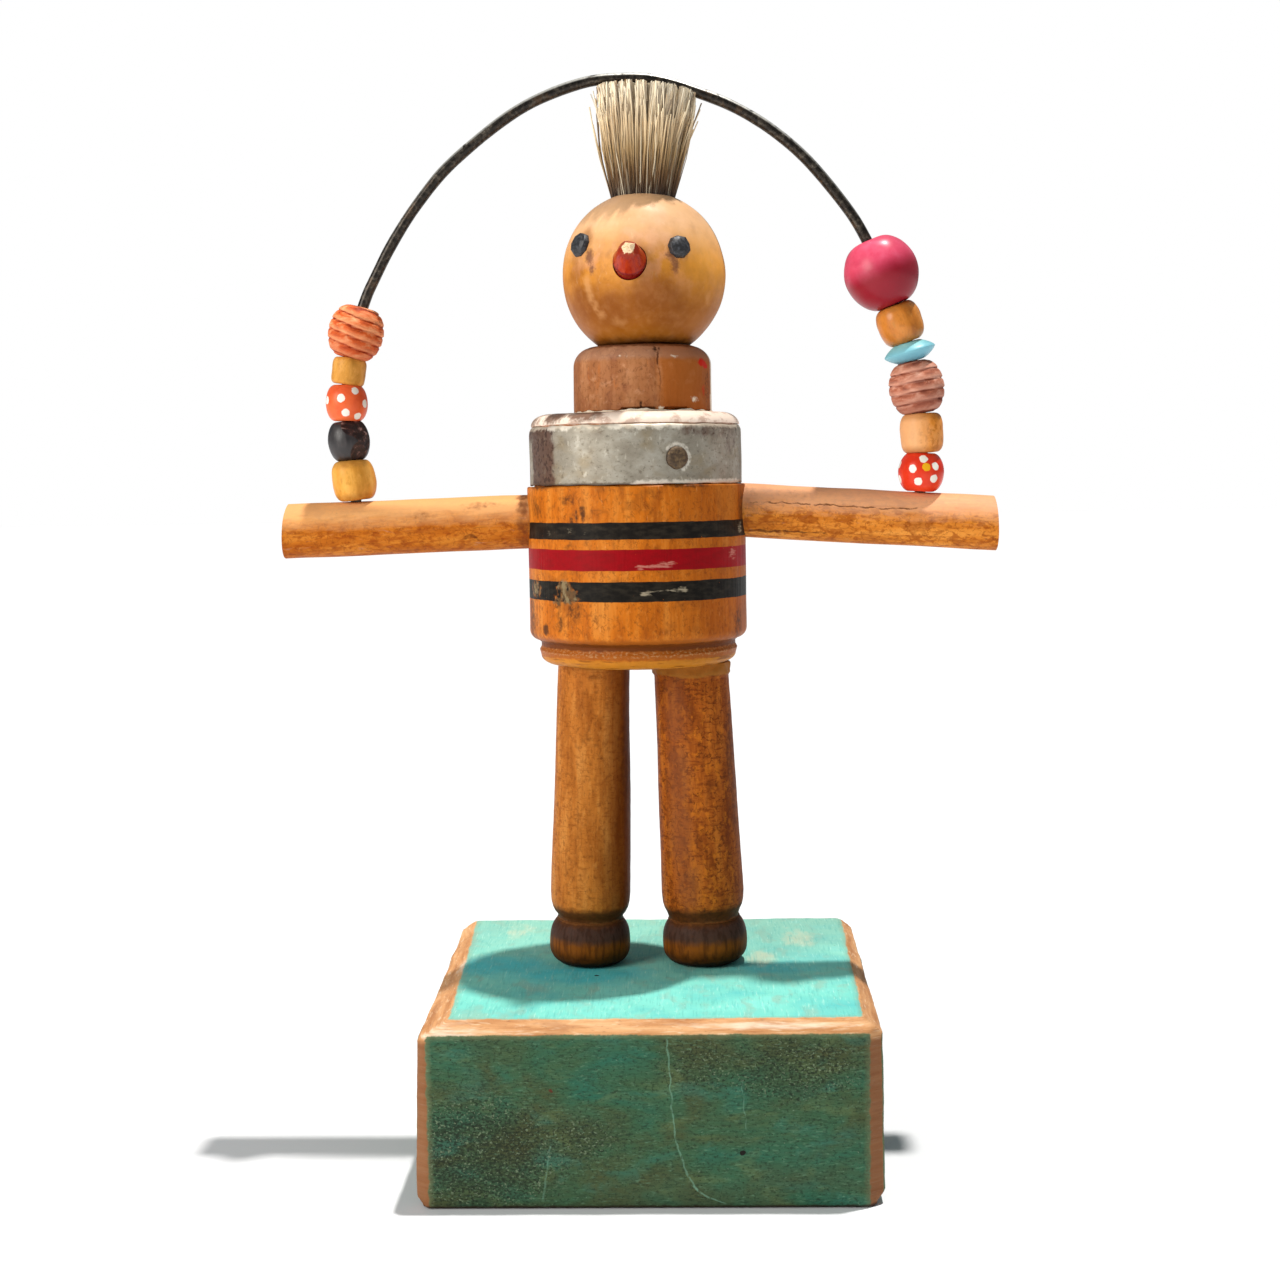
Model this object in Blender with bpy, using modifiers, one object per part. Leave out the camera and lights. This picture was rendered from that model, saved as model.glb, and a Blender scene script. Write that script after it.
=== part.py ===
"""A standing figure put together from turned wooden odds and ends on a painted block.

A mallet head is the body, dowels are the arms, turned spindles are the legs, a big bead is the head
and a cut brush is its hair. A bent steel rod, threaded with beads at both ends, arches over the
figure and is plugged into the arms. The origin is the centre of the block's underside, +Z is up and
the figure faces -Y. "Left" and "right" are the viewer's, so left is -X.
"""

import math

import bmesh
import bpy
import numpy as np
from mathutils import Matrix, Vector

MM = 0.001
GAP = 0.3 * MM  # clearance between pieces that touch
BORE_PLAY = 1.3 * GAP  # the same round a faceted pin in a faceted hole
BORE_MOUTH = 12.0 * MM  # how far a hole's cutter stands out of the surface

# The painted block
BLOCK_DEPTH = 107.0 * MM
BLOCK_HEIGHT = 48.3 * MM
FRONT_CHAMFER = 3.3 * MM
BACK_CHAMFER = 1.4 * MM
FOOT_CHAMFER = 0.9 * MM
BACK_EDGE_CUT = 5.5 * MM
# Each side: its distance from the middle at the bottom of the front, how much further out the back is,
# how far it leans in at the top, where the painted top ends at the front and at the back, the drop of
# the chamfer there, its bottom chamfer, and the width and depth of the cut on its front upright edge
BLOCK_SIDES = {
    -1: dict(at=59.1 * MM, flare=1.2 * MM, lean=1.35 * MM, top=(49.8 * MM, 54.9 * MM), drop=4.6 * MM,
             foot=2.5 * MM, cut=(3.2 * MM, 2.6 * MM)),
    1: dict(at=59.5 * MM, flare=0.9 * MM, lean=0.6 * MM, top=(54.0 * MM, 56.9 * MM), drop=3.8 * MM,
            foot=3.2 * MM, cut=(4.6 * MM, 3.2 * MM)),
}

# The plane that the figure's pieces share
FIGURE_Y = 4.0 * MM

# The body, a mallet head on end
TORSO_X = -2.3 * MM
TORSO_BOTTOM = 132.6 * MM
TORSO_TOP = 200.2 * MM
TORSO_RADIUS = 29.8 * MM
TORSO_BOTTOM_RADIUS = 22.5 * MM
TORSO_TOP_RADIUS = 23.6 * MM
CROWN_RADIUS = 28.3 * MM  # where the rounding of the upper end starts, at the band
SKIRT_RADIUS = 27.1 * MM  # the bead under the body
SKIRT_GROOVE_RADIUS = 26.6 * MM
SKIRT_TOP = 139.4 * MM
SKIRT_GROOVE = (0.8 * MM, 2.0 * MM)  # the groove's upper and lower edge, below the skirt's top
SKIRT_BEAD = (2.9 * MM, 4.4 * MM)  # the same for the bead
SKIRT_BEAD_EASE = 0.4 * MM
BODY_EDGE = 2.6 * MM  # rounding of the body's lower edge

# The metal band round the body and its nail
BAND_BOTTOM = 181.2 * MM
BAND_TOP = 196.8 * MM
BAND_RADIUS = 28.9 * MM
BAND_WALL = 0.8 * MM
BAND_CRIMP = 0.5 * MM
BAND_CRIMP_HEIGHT = 2.0 * MM
NAIL_AZIMUTH = 23.4  # degrees from straight ahead, towards the right
NAIL_HEIGHT = 187.9 * MM
NAIL_HEAD_RADIUS = 3.0 * MM
NAIL_DOME = 1.4 * MM
NAIL_SHANK_RADIUS = 1.1 * MM
NAIL_LENGTH = 9.0 * MM

# Legs: foot centre, top centre, radii of foot, waist, calf and top
LEGS = {
    "left_leg": dict(
        foot_x=-17.3 * MM, top_x=-14.7 * MM, foot=11.2 * MM, waist=9.1 * MM, calf=11.15 * MM, top=9.8 * MM
    ),
    "right_leg": dict(
        foot_x=15.3 * MM, top_x=12.0 * MM, foot=11.8 * MM, waist=9.8 * MM, calf=11.4 * MM, top=10.1 * MM
    ),
}
FOOT_HEIGHT = 12.6 * MM
FOOT_BULGE_HEIGHT = 5.2 * MM
WAIST_HEIGHT = 13.5 * MM
# How far in the calf's rounding is, and at what height above the waist
CALF_EASE = [(0.0 * MM, 6.5 * MM), (0.2 * MM, 3.9 * MM), (0.6 * MM, 2.3 * MM), (1.2 * MM, 1.1 * MM)]
FOOT_SOLE_INSET = 0.2 * MM

# Arms: height where the arm leaves the body, outer end, radii inside and outside
ARMS = {
    "left_arm": dict(
        side=-1, root_z=171.4 * MM, end_x=-99.4 * MM, end_z=169.65 * MM, root=7.3 * MM, end=7.5 * MM
    ),
    "right_arm": dict(
        side=1, root_z=173.6 * MM, end_x=96.1 * MM, end_z=169.05 * MM, root=7.35 * MM, end=7.35 * MM
    ),
}
ARM_EASE = 0.9 * MM
SOCKET_DEPTH = 9.0 * MM  # how far an arm goes into the body

# Neck and head
NECK_X = -0.1 * MM
NECK_RADIUS = 18.7 * MM
NECK_TOP_RADIUS = 13.3 * MM
NECK_TOP = 218.2 * MM
NECK_EASE = 5.2 * MM  # height of the rounding at the top
NECK_FOOT_EASE = 0.4 * MM
HEAD_X = 0.65 * MM
HEAD_RADIUS = 22.0 * MM
HEAD_HALF_HEIGHT = 22.5 * MM
HEAD_CENTRE_Z = 237.2 * MM

# Brush tuft, set in the crown
TUFT_X = 0.8 * MM
TUFT_ROOT_RADIUS = 8.7 * MM
TUFT_DEPTH = 5.4 * MM
TUFT_TOP = 285.3 * MM
TUFT_TOP_RADIUS = 14.5 * MM
TUFT_LEAN = 2.2  # degrees, towards the right
TUFT_SLANT = 5.0  # degrees by which its top is lower on the right
TUFT_FLARE = [(0.46, 0.41), (0.76, 0.73)]  # shares of the height and of the growth in radius
TUFT_FLUTE = 0.35 * MM
TUFT_LOCKS = 16

# Face: azimuth and latitude on the head, in degrees, azimuth from straight ahead towards the right
EYES = {"left_eye": (-48.0, 18.1), "right_eye": (27.2, 11.9)}
EYE_RADIUS = 3.0 * MM
EYE_DOME = 1.8 * MM
EYE_SEAT = 0.6 * MM
NOSE_AT = (-7.3, 3.1)
NOSE_POINTS = (-0.5, 21.0)
NOSE_RADIUS = 4.55 * MM
NOSE_TIP_RADIUS = 1.95 * MM
NOSE_LENGTH = 7.8 * MM
NOSE_PEG = 3.5 * MM

# The bent rod: points (x, z) in millimetres, from the hole in the left arm over the top to the right
ROD_RADIUS = 1.5 * MM
ROD_SPACING = 7.0 * MM
ROD_ROUTE = [
    (-79.4, 168.6), (-79.4, 177.2), (-79.7, 183.1), (-80.9, 193.6), (-81.3, 204.1), (-80.4, 213.0),
    (-78.2, 223.6), (-75.2, 232.4), (-73.0, 237.7), (-67.4, 248.3), (-59.8, 258.7), (-50.2, 269.4),
    (-32.4, 282.0), (-15.6, 288.6), (-3.0, 289.7), (6.0, 288.8), (16.5, 285.2), (26.7, 280.7),
    (45.0, 267.6), (54.7, 256.7), (59.9, 248.6), (64.8, 237.1), (69.7, 223.6), (72.4, 216.0),
    (74.3, 206.0), (75.8, 193.5), (75.4, 182.9), (75.1, 177.6), (74.9, 168.6),
]

# Beads from the arm upwards: shape, diameter and height in millimetres
HOLE_RADIUS = 2.05 * MM
HOLE_EASE = 0.15 * MM
BEAD_RIM = 0.7 * MM  # flat left round the hole at a bead's ends
BIG_BEAD = 14.5  # beads wider than this, in millimetres, sit looser on the bent rod
BIG_BEAD_PLAY = 0.25 * MM
LEFT_BEADS = [
    ("left_barrel_bead", "barrel", 12.0, 10.8),
    ("left_black_bead", "round", 11.4, 10.4),
    ("left_dotted_bead", "round", 11.4, 9.6),
    ("left_small_barrel_bead", "barrel", 9.3, 7.0),
    ("left_grooved_bead", "grooved", 15.2, 13.8),
]
RIGHT_BEADS = [
    ("right_dotted_bead", "round", 12.4, 10.2),
    ("right_barrel_bead", "barrel", 11.7, 10.4),
    ("right_grooved_bead", "grooved", 15.1, 13.9),
    ("right_saucer_bead", "saucer", 14.0, 5.0),
    ("right_oval_bead", "barrel", 12.2, 10.3),
    ("right_pink_ball", "round", 20.0, 18.9),
]
BEAD_GROOVES = 4
BEAD_GROOVE_DEPTH = 0.55 * MM

# Facets round each turned piece
TORSO_STEPS = 36
HEAD_STEPS = 28
LEG_STEPS = 18
ARM_STEPS = 18
BEAD_STEPS = 14
SMALL_STEPS = 12
EYE_STEPS = 8

COLOURS = {
    "honey_wood": (0.58, 0.24, 0.035),
    "brown_wood": (0.42, 0.16, 0.03),
    "tan_wood": (0.66, 0.36, 0.10),
    "turquoise_paint": (0.07, 0.45, 0.36),
    "zinc": (0.30, 0.29, 0.26),
    "dark_steel": (0.03, 0.028, 0.025),
    "charcoal": (0.02, 0.022, 0.025),
    "red_lacquer": (0.55, 0.05, 0.015),
    "bristle": (0.55, 0.45, 0.31),
    "terracotta": (0.55, 0.17, 0.07),
    "orange_paint": (0.75, 0.12, 0.02),
    "red_paint": (0.62, 0.02, 0.01),
    "crimson_paint": (0.55, 0.03, 0.09),
    "black_paint": (0.02, 0.016, 0.013),
    "pale_turquoise": (0.25, 0.62, 0.66),
}


def clear_scene():
    for thing in list(bpy.data.objects):
        bpy.data.objects.remove(thing, do_unlink=True)


def collection_named(name, hidden=False):
    made = bpy.data.collections.new(name)
    bpy.context.scene.collection.children.link(made)
    made.hide_render = hidden
    return made


clear_scene()
parts = collection_named("found_object_figure")
cutters = collection_named("cutters", hidden=True)


def material(name, colour, roughness=0.5, metallic=0.0):
    made = bpy.data.materials.new(name)
    made.use_nodes = True
    shader = made.node_tree.nodes["Principled BSDF"]
    shader.inputs["Base Color"].default_value = (*colour, 1.0)
    shader.inputs["Roughness"].default_value = roughness
    shader.inputs["Metallic"].default_value = metallic
    return made


def new_object(name, mesh, finish=None, matrix=None):
    """A piece of the figure with its material, or a cutter where there is none."""
    made = bpy.data.objects.new(name, mesh)
    (parts if finish else cutters).objects.link(made)
    if matrix is not None:
        made.matrix_world = matrix
    if finish is None:
        made.hide_render = True
        made.display_type = "WIRE"
    else:
        colour, roughness, metallic = finish
        mesh.materials.append(material(name, COLOURS[colour], roughness, metallic))
    return made


def turned(name, profile, steps, finish=None, matrix=None, ring=False):
    """A turned shape about local Z. The profile is (radius, z) down its outer side, from top to bottom."""
    mesh = bpy.data.meshes.new(name)
    shape = bmesh.new()
    points = [shape.verts.new((radius, 0.0, z)) for radius, z in profile]
    for first, second in zip(points, points[1:]):
        shape.edges.new((first, second))
    if ring:
        shape.edges.new((points[-1], points[0]))
    shape.to_mesh(mesh)
    shape.free()
    made = new_object(name, mesh, finish, matrix)
    screw = made.modifiers.new("Turn", "SCREW")
    screw.axis = "Z"
    screw.angle = math.tau
    screw.steps = screw.render_steps = steps
    screw.use_merge_vertices = True
    screw.merge_threshold = 0.000005
    screw.use_smooth_shade = True
    return made


def cut(piece, cutter):
    boolean = piece.modifiers.new(cutter.name, "BOOLEAN")
    boolean.operation = "DIFFERENCE"
    boolean.object = cutter


def bore(piece, name, radius, depth, at, steps):
    """Cuts a round hole into a piece, down local -Z of the matrix, and open above. Returns the cutter."""
    profile = [(0, BORE_MOUTH), (radius, BORE_MOUTH), (radius, -depth), (0, -depth)]
    drill = turned(name, profile, steps, matrix=at)
    cut(piece, drill)
    return drill


def arc(centre, radii, start, end, count):
    """Points of an ellipse's arc in the (radius, z) plane, between two angles in degrees from +radius."""
    angles = [math.radians(start + (end - start) * i / count) for i in range(count + 1)]
    return [(centre[0] + radii[0] * math.cos(a), centre[1] + radii[1] * math.sin(a)) for a in angles]


def along(start, direction):
    """A matrix that puts local Z along a direction and the local origin at start."""
    turn = Vector((0, 0, 1)).rotation_difference(Vector(direction).normalized())
    return Matrix.Translation(start) @ turn.to_matrix().to_4x4()


def facing(azimuth, latitude):
    """The unit vector for an azimuth from straight ahead (-Y) towards +X and a latitude, in degrees."""
    a, b = math.radians(azimuth), math.radians(latitude)
    return Vector((math.sin(a) * math.cos(b), -math.cos(a) * math.cos(b), math.sin(b)))


def on_head(azimuth, latitude):
    """The point of the head's surface that lies that way from its centre, and the surface's normal there."""
    way = facing(azimuth, latitude)
    radii = Vector((HEAD_RADIUS, HEAD_RADIUS, HEAD_HALF_HEIGHT))
    stretch = 1 / math.sqrt(sum((w / r) ** 2 for w, r in zip(way, radii)))
    offset = way * stretch
    normal = Vector(o / r**2 for o, r in zip(offset, radii)).normalized()
    return Vector((HEAD_X, FIGURE_Y, HEAD_CENTRE_Z)) + offset, normal


def slice_off(shape, point, normal):
    """Cuts away everything beyond a plane and closes the cut."""
    everything = shape.verts[:] + shape.edges[:] + shape.faces[:]
    done = bmesh.ops.bisect_plane(
        shape, geom=everything, plane_co=point, plane_no=Vector(normal).normalized(), clear_outer=True
    )
    rim = [thing for thing in done["geom_cut"] if isinstance(thing, bmesh.types.BMEdge)]
    bmesh.ops.contextual_create(shape, geom=rim)


def base_block():
    """A sawn block whose edges were planed off by hand, each a little differently."""
    half_d = BLOCK_DEPTH / 2
    shape = bmesh.new()
    bmesh.ops.create_cube(shape, size=1.0)
    bmesh.ops.scale(shape, vec=(1.5 * BLOCK_DEPTH, BLOCK_DEPTH, BLOCK_HEIGHT), verts=shape.verts)
    bmesh.ops.translate(shape, vec=(0, 0, BLOCK_HEIGHT / 2), verts=shape.verts)

    slice_off(shape, (0, -half_d, BLOCK_HEIGHT - FRONT_CHAMFER), (0, -1, 1))
    slice_off(shape, (0, half_d, BLOCK_HEIGHT - BACK_CHAMFER), (0, 1, 1))
    slice_off(shape, (0, -half_d, FOOT_CHAMFER), (0, -1, -1))
    slice_off(shape, (0, half_d, FOOT_CHAMFER), (0, 1, -1))
    for side, edge in BLOCK_SIDES.items():
        corner = Vector((side * edge["at"], -half_d, 0))
        up = Vector((-side * edge["lean"], 0, BLOCK_HEIGHT))
        backwards = Vector((side * edge["flare"], BLOCK_DEPTH, 0))
        slice_off(shape, corner, side * backwards.cross(up))
        top_front, top_back = edge["top"]
        at_front = Vector((side * top_front, -half_d, BLOCK_HEIGHT))
        at_back = Vector((side * top_back, half_d, BLOCK_HEIGHT))
        low = corner + up - Vector((0, 0, edge["drop"]))
        slice_off(shape, at_front, side * (at_back - at_front).cross(at_front - low))
        slice_off(shape, corner + Vector((0, half_d, edge["foot"])), (side, 0, -1))
        width, depth = edge["cut"]
        slice_off(shape, corner - Vector((side * width, 0, 0)), (side * depth, -width, 0))
        slice_off(shape, corner + backwards - Vector((side * BACK_EDGE_CUT, 0, 0)), (side, 1, 0))
    bmesh.ops.recalc_face_normals(shape, faces=shape.faces)
    mesh = bpy.data.meshes.new("base_block")
    shape.to_mesh(mesh)
    shape.free()
    return new_object("base_block", mesh, ("turquoise_paint", 0.6, 0.0))


def slab(name, low, high):
    """A flat cutter box, wide enough to trim both legs, between two heights."""
    shape = bmesh.new()
    bmesh.ops.create_cube(shape, size=1.0)
    bmesh.ops.scale(shape, vec=(BLOCK_DEPTH, BLOCK_DEPTH, high - low), verts=shape.verts)
    mesh = bpy.data.meshes.new(name)
    shape.to_mesh(mesh)
    shape.free()
    return new_object(name, mesh, matrix=Matrix.Translation((0, 0, (low + high) / 2)))


def legs():
    """Two spindle ends, splayed a little and sawn level at the block and under the body."""
    spare = 2.0 * MM
    floor = BLOCK_HEIGHT + GAP
    ceiling = TORSO_BOTTOM - GAP
    trims = [
        slab("foot_trim", floor - 5 * spare, floor),
        slab("leg_top_trim", ceiling, ceiling + 5 * spare),
    ]
    for name, leg in LEGS.items():
        foot = Vector((leg["foot_x"], FIGURE_Y, BLOCK_HEIGHT))
        top = Vector((leg["top_x"], FIGURE_Y, TORSO_BOTTOM))
        length = (top - foot).length
        bulge = arc((0, FOOT_BULGE_HEIGHT), (leg["foot"], FOOT_HEIGHT - FOOT_BULGE_HEIGHT + spare), 52, 0, 4)
        under = arc((0, FOOT_BULGE_HEIGHT), (leg["foot"], FOOT_BULGE_HEIGHT * 1.25), -18, -48, 2)
        profile = [
            (0, length + spare),
            (leg["top"], length + spare),
            *[(leg["calf"] - inset, WAIST_HEIGHT + above) for inset, above in CALF_EASE],
            (leg["waist"], WAIST_HEIGHT),
            (leg["waist"] + 0.15 * MM, FOOT_HEIGHT),
        ]
        profile += [point for point in bulge if point[1] < FOOT_HEIGHT - 0.5 * MM] + under
        profile += [(under[-1][0] - FOOT_SOLE_INSET, -spare), (0, -spare)]
        piece = turned(name, profile, LEG_STEPS, ("brown_wood", 0.45, 0.0), along(foot, top - foot))
        for trim in trims:
            cut(piece, trim)


def torso():
    """The body's lower end is turned to a groove and a bead, its upper end turned down for the band."""
    edge = arc((TORSO_RADIUS - BODY_EDGE, SKIRT_TOP + BODY_EDGE), (BODY_EDGE, BODY_EDGE), 0, -80, 2)
    crown_low = BAND_TOP + GAP
    crown_size = (CROWN_RADIUS - TORSO_TOP_RADIUS, TORSO_TOP - crown_low)
    crown = arc((TORSO_TOP_RADIUS, crown_low), crown_size, 90, 0, 3)
    recess = BAND_RADIUS - BAND_WALL - GAP
    bead_top, bead_low = (SKIRT_TOP - drop for drop in SKIRT_BEAD)
    under_size = (SKIRT_RADIUS - SKIRT_BEAD_EASE - TORSO_BOTTOM_RADIUS, bead_low - TORSO_BOTTOM)
    under = arc((TORSO_BOTTOM_RADIUS, bead_low), under_size, 0, -90, 2)
    profile = [(0, TORSO_TOP)] + crown
    profile += [
        (recess, crown_low),
        (recess, BAND_BOTTOM - GAP),
        (TORSO_RADIUS, BAND_BOTTOM - GAP),
    ]
    profile += edge
    profile += [(SKIRT_GROOVE_RADIUS, SKIRT_TOP - drop) for drop in SKIRT_GROOVE]
    profile += [(SKIRT_RADIUS, bead_top)] + under + [(0, TORSO_BOTTOM)]
    at = Matrix.Translation((TORSO_X, FIGURE_Y, 0))
    return turned("torso", profile, TORSO_STEPS, ("honey_wood", 0.4, 0.0), at)


def metal_band():
    """A ferrule, crimped in a little along its upper edge."""
    inside = BAND_RADIUS - BAND_WALL
    profile = [
        (BAND_RADIUS - BAND_CRIMP, BAND_TOP),
        (BAND_RADIUS - 0.2 * BAND_CRIMP, BAND_TOP - 0.5 * BAND_CRIMP_HEIGHT),
        (BAND_RADIUS, BAND_TOP - BAND_CRIMP_HEIGHT),
        (BAND_RADIUS, BAND_BOTTOM),
        (inside, BAND_BOTTOM),
        (inside, BAND_TOP),
    ]
    at = Matrix.Translation((TORSO_X, FIGURE_Y, 0))
    return turned("metal_band", profile, TORSO_STEPS, ("zinc", 0.45, 0.8), at, ring=True)


def band_nail(body, band):
    """A domed nail through the band into the body, and the hole that it sits in."""
    way = facing(NAIL_AZIMUTH, 0)
    axis = Vector((TORSO_X, FIGURE_Y, NAIL_HEIGHT))
    seat = along(axis + way * (BAND_RADIUS + GAP), way)
    dome = arc((0, 0), (NAIL_HEAD_RADIUS, NAIL_DOME), 90, 0, 3)
    profile = dome + [
        (NAIL_SHANK_RADIUS, 0),
        (NAIL_SHANK_RADIUS, 1.5 * MM - NAIL_LENGTH),
        (0, -NAIL_LENGTH),
    ]
    turned("band_nail", profile, SMALL_STEPS, ("zinc", 0.6, 0.8), seat)
    drill = bore(body, "nail_hole", NAIL_SHANK_RADIUS + BORE_PLAY, NAIL_LENGTH + GAP, seat, SMALL_STEPS)
    cut(band, drill)


def arms(body):
    """Two dowels, each in a socket in the body, drooping a little. Returns them by name."""
    made = {}
    for name, arm in ARMS.items():
        side = arm["side"]
        root = Vector((TORSO_X + side * TORSO_RADIUS, FIGURE_Y, arm["root_z"]))
        end = Vector((arm["end_x"], FIGURE_Y, arm["end_z"]))
        way = (end - root).normalized()
        length = (end - root).length
        flare = (arm["end"] - arm["root"]) / length
        inner = arm["root"] - flare * SOCKET_DEPTH
        profile = [
            (0, length),
            (arm["end"] - ARM_EASE, length),
            (arm["end"] - 0.25 * ARM_EASE, length - 0.3 * ARM_EASE),
            (arm["end"], length - ARM_EASE),
            (arm["root"], 0),
            (inner, -SOCKET_DEPTH),
            (0, -SOCKET_DEPTH),
        ]
        at = along(root, way)
        made[name] = turned(name, profile, ARM_STEPS, ("honey_wood", 0.5, 0.0), at)
        bore(body, name + "_socket", arm["root"] + BORE_PLAY, SOCKET_DEPTH + GAP, at, ARM_STEPS)
    return made


def neck():
    """A short thick plug with a rounded top, standing on the body."""
    bottom = TORSO_TOP + GAP
    corner_size = (NECK_RADIUS - NECK_TOP_RADIUS, NECK_EASE)
    profile = [(0, NECK_TOP)] + arc((NECK_TOP_RADIUS, NECK_TOP - NECK_EASE), corner_size, 90, 0, 5)
    profile += [(NECK_RADIUS, bottom + NECK_FOOT_EASE), (NECK_RADIUS - NECK_FOOT_EASE, bottom), (0, bottom)]
    at = Matrix.Translation((NECK_X, FIGURE_Y, 0))
    turned("neck", profile, HEAD_STEPS, ("brown_wood", 0.5, 0.0), at)


def head():
    """A big turned bead, flat where it stands on the neck."""
    low = NECK_TOP + GAP
    start = math.degrees(math.asin((low - HEAD_CENTRE_Z) / HEAD_HALF_HEIGHT))
    side = arc((0, HEAD_CENTRE_Z), (HEAD_RADIUS, HEAD_HALF_HEIGHT), 90, start, 14)
    profile = [(0, HEAD_CENTRE_Z + HEAD_HALF_HEIGHT)] + side[1:] + [(0, low)]
    at = Matrix.Translation((HEAD_X, FIGURE_Y, 0))
    return turned("head", profile, HEAD_STEPS, ("tan_wood", 0.35, 0.0), at)


def bristle_tuft(crown):
    """The cut brush, a fluted cone of bristle locks set in a socket in the crown."""
    rim_z = HEAD_CENTRE_Z + HEAD_HALF_HEIGHT * math.sqrt(1 - (TUFT_ROOT_RADIUS / HEAD_RADIUS) ** 2)
    root = Vector((TUFT_X, FIGURE_Y, rim_z))
    tall = TUFT_TOP - rim_z
    at = along(root, (math.tan(math.radians(TUFT_LEAN)), 0, 1))
    growth = TUFT_TOP_RADIUS - TUFT_ROOT_RADIUS
    profile = [
        (0, tall),
        (0.70 * TUFT_TOP_RADIUS, tall - 0.2 * MM),
        (0.86 * TUFT_TOP_RADIUS, tall - 1.0 * MM),
        (TUFT_TOP_RADIUS, tall - 3.0 * MM),
        *[(TUFT_ROOT_RADIUS + share * growth, height * tall) for height, share in reversed(TUFT_FLARE)],
        (TUFT_ROOT_RADIUS, 0),
        (TUFT_ROOT_RADIUS, -TUFT_DEPTH),
        (0, -TUFT_DEPTH),
    ]
    tuft = bmesh.new()
    steps = 2 * TUFT_LOCKS
    points = [tuft.verts.new((radius, 0.0, z)) for radius, z in profile]
    edges = [tuft.edges.new(pair) for pair in zip(points, points[1:])]
    bmesh.ops.spin(
        tuft, geom=points + edges, cent=(0, 0, 0), axis=(0, 0, 1), angle=math.tau, steps=steps, use_merge=True
    )
    bmesh.ops.remove_doubles(tuft, verts=tuft.verts, dist=0.01 * MM)
    for vert in tuft.verts:
        radius = math.hypot(vert.co.x, vert.co.y)
        if vert.co.z > 0:
            vert.co.z -= vert.co.x * math.tan(math.radians(TUFT_SLANT)) * vert.co.z / tall
        if radius < 0.5 * TUFT_ROOT_RADIUS or vert.co.z < 0.1 * MM:
            continue
        step = round(math.atan2(vert.co.y, vert.co.x) / math.tau * steps)
        if step % 2:
            shrink = (radius - 2 * TUFT_FLUTE) / radius
            vert.co.x *= shrink
            vert.co.y *= shrink
    bmesh.ops.recalc_face_normals(tuft, faces=tuft.faces)
    mesh = bpy.data.meshes.new("bristle_tuft")
    tuft.to_mesh(mesh)
    tuft.free()
    new_object("bristle_tuft", mesh, ("bristle", 0.8, 0.0), at)
    bore(crown, "tuft_socket", TUFT_ROOT_RADIUS + GAP, TUFT_DEPTH + GAP, at, steps)


def eyes(face):
    """Hammered domes with flat facets, let into shallow seats."""
    for name, (azimuth, latitude) in EYES.items():
        point, normal = on_head(azimuth, latitude)
        at = along(point, normal)
        profile = [
            (0, EYE_DOME),
            (0.45 * EYE_RADIUS, EYE_DOME - 0.15 * MM),
            (0.85 * EYE_RADIUS, 0.6 * EYE_DOME),
            (EYE_RADIUS, 0.15 * EYE_DOME),
            (EYE_RADIUS, -EYE_SEAT),
            (0, -EYE_SEAT),
        ]
        turned(name, profile, EYE_STEPS, ("charcoal", 0.55, 0.0), at)
        bore(face, name + "_seat", EYE_RADIUS + GAP, EYE_SEAT + GAP, at, EYE_STEPS)


def nose(face):
    """A lacquered peg that tapers to a worn tip, pushed into a slanting hole."""
    point, _ = on_head(*NOSE_AT)
    at = along(point, facing(*NOSE_POINTS))
    profile = [
        (0, NOSE_LENGTH),
        (NOSE_TIP_RADIUS - 0.5 * MM, NOSE_LENGTH),
        (NOSE_TIP_RADIUS, NOSE_LENGTH - 0.5 * MM),
        (NOSE_RADIUS, 0.5 * MM),
        (NOSE_RADIUS, -NOSE_PEG),
        (0, -NOSE_PEG),
    ]
    turned("nose", profile, BEAD_STEPS, ("red_lacquer", 0.25, 0.0), at)
    bore(face, "nose_hole", NOSE_RADIUS + GAP, NOSE_PEG + GAP, at, BEAD_STEPS)


def smooth_route(points, spacing):
    """Points about the given distance apart on a Catmull-Rom curve through the route's points."""
    route = np.array([points[0], *points, points[-1]], float)
    route[0] = 2 * route[1] - route[2]
    route[-1] = 2 * route[-2] - route[-3]
    t = np.linspace(0, 1, 24, endpoint=False)[:, None]
    dense = []
    for a, b, c, d in zip(route, route[1:], route[2:], route[3:]):
        cubic = (2 * a - 5 * b + 4 * c - d) * t**2 + (3 * b - a - 3 * c + d) * t**3
        dense.append(0.5 * (2 * b + (c - a) * t + cubic))
    dense = np.vstack([*dense, route[-2:-1]])
    run = np.concatenate([[0], np.cumsum(np.linalg.norm(np.diff(dense, axis=0), axis=1))])
    even = np.linspace(0, run[-1], round(run[-1] / spacing) + 1)
    return np.column_stack([np.interp(even, run, dense[:, axis]) for axis in (0, 1)]), dense, run


def wire_hoop(arm_pieces):
    """The bent rod, a tube swept along its route, and the holes for its ends in the arms."""
    route = [(x * MM, z * MM) for x, z in ROD_ROUTE]
    points, dense, run = smooth_route(route, ROD_SPACING)
    curve = bpy.data.curves.new("wire_hoop", "CURVE")
    curve.dimensions = "3D"
    curve.bevel_depth = ROD_RADIUS
    curve.bevel_resolution = 2
    curve.use_fill_caps = True
    spline = curve.splines.new("POLY")
    spline.points.add(len(points) - 1)
    for point, (x, z) in zip(spline.points, points):
        point.co = (x, FIGURE_Y, z, 1.0)
    new_object("wire_hoop", curve, ("dark_steel", 0.4, 0.9))
    for name, (x, z) in (("left_arm", route[0]), ("right_arm", route[-1])):
        at = Matrix.Translation((x, FIGURE_Y, z))
        bore(arm_pieces[name], name + "_rod_hole", ROD_RADIUS + BORE_PLAY, GAP, at, SMALL_STEPS)
    return dense, run


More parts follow.
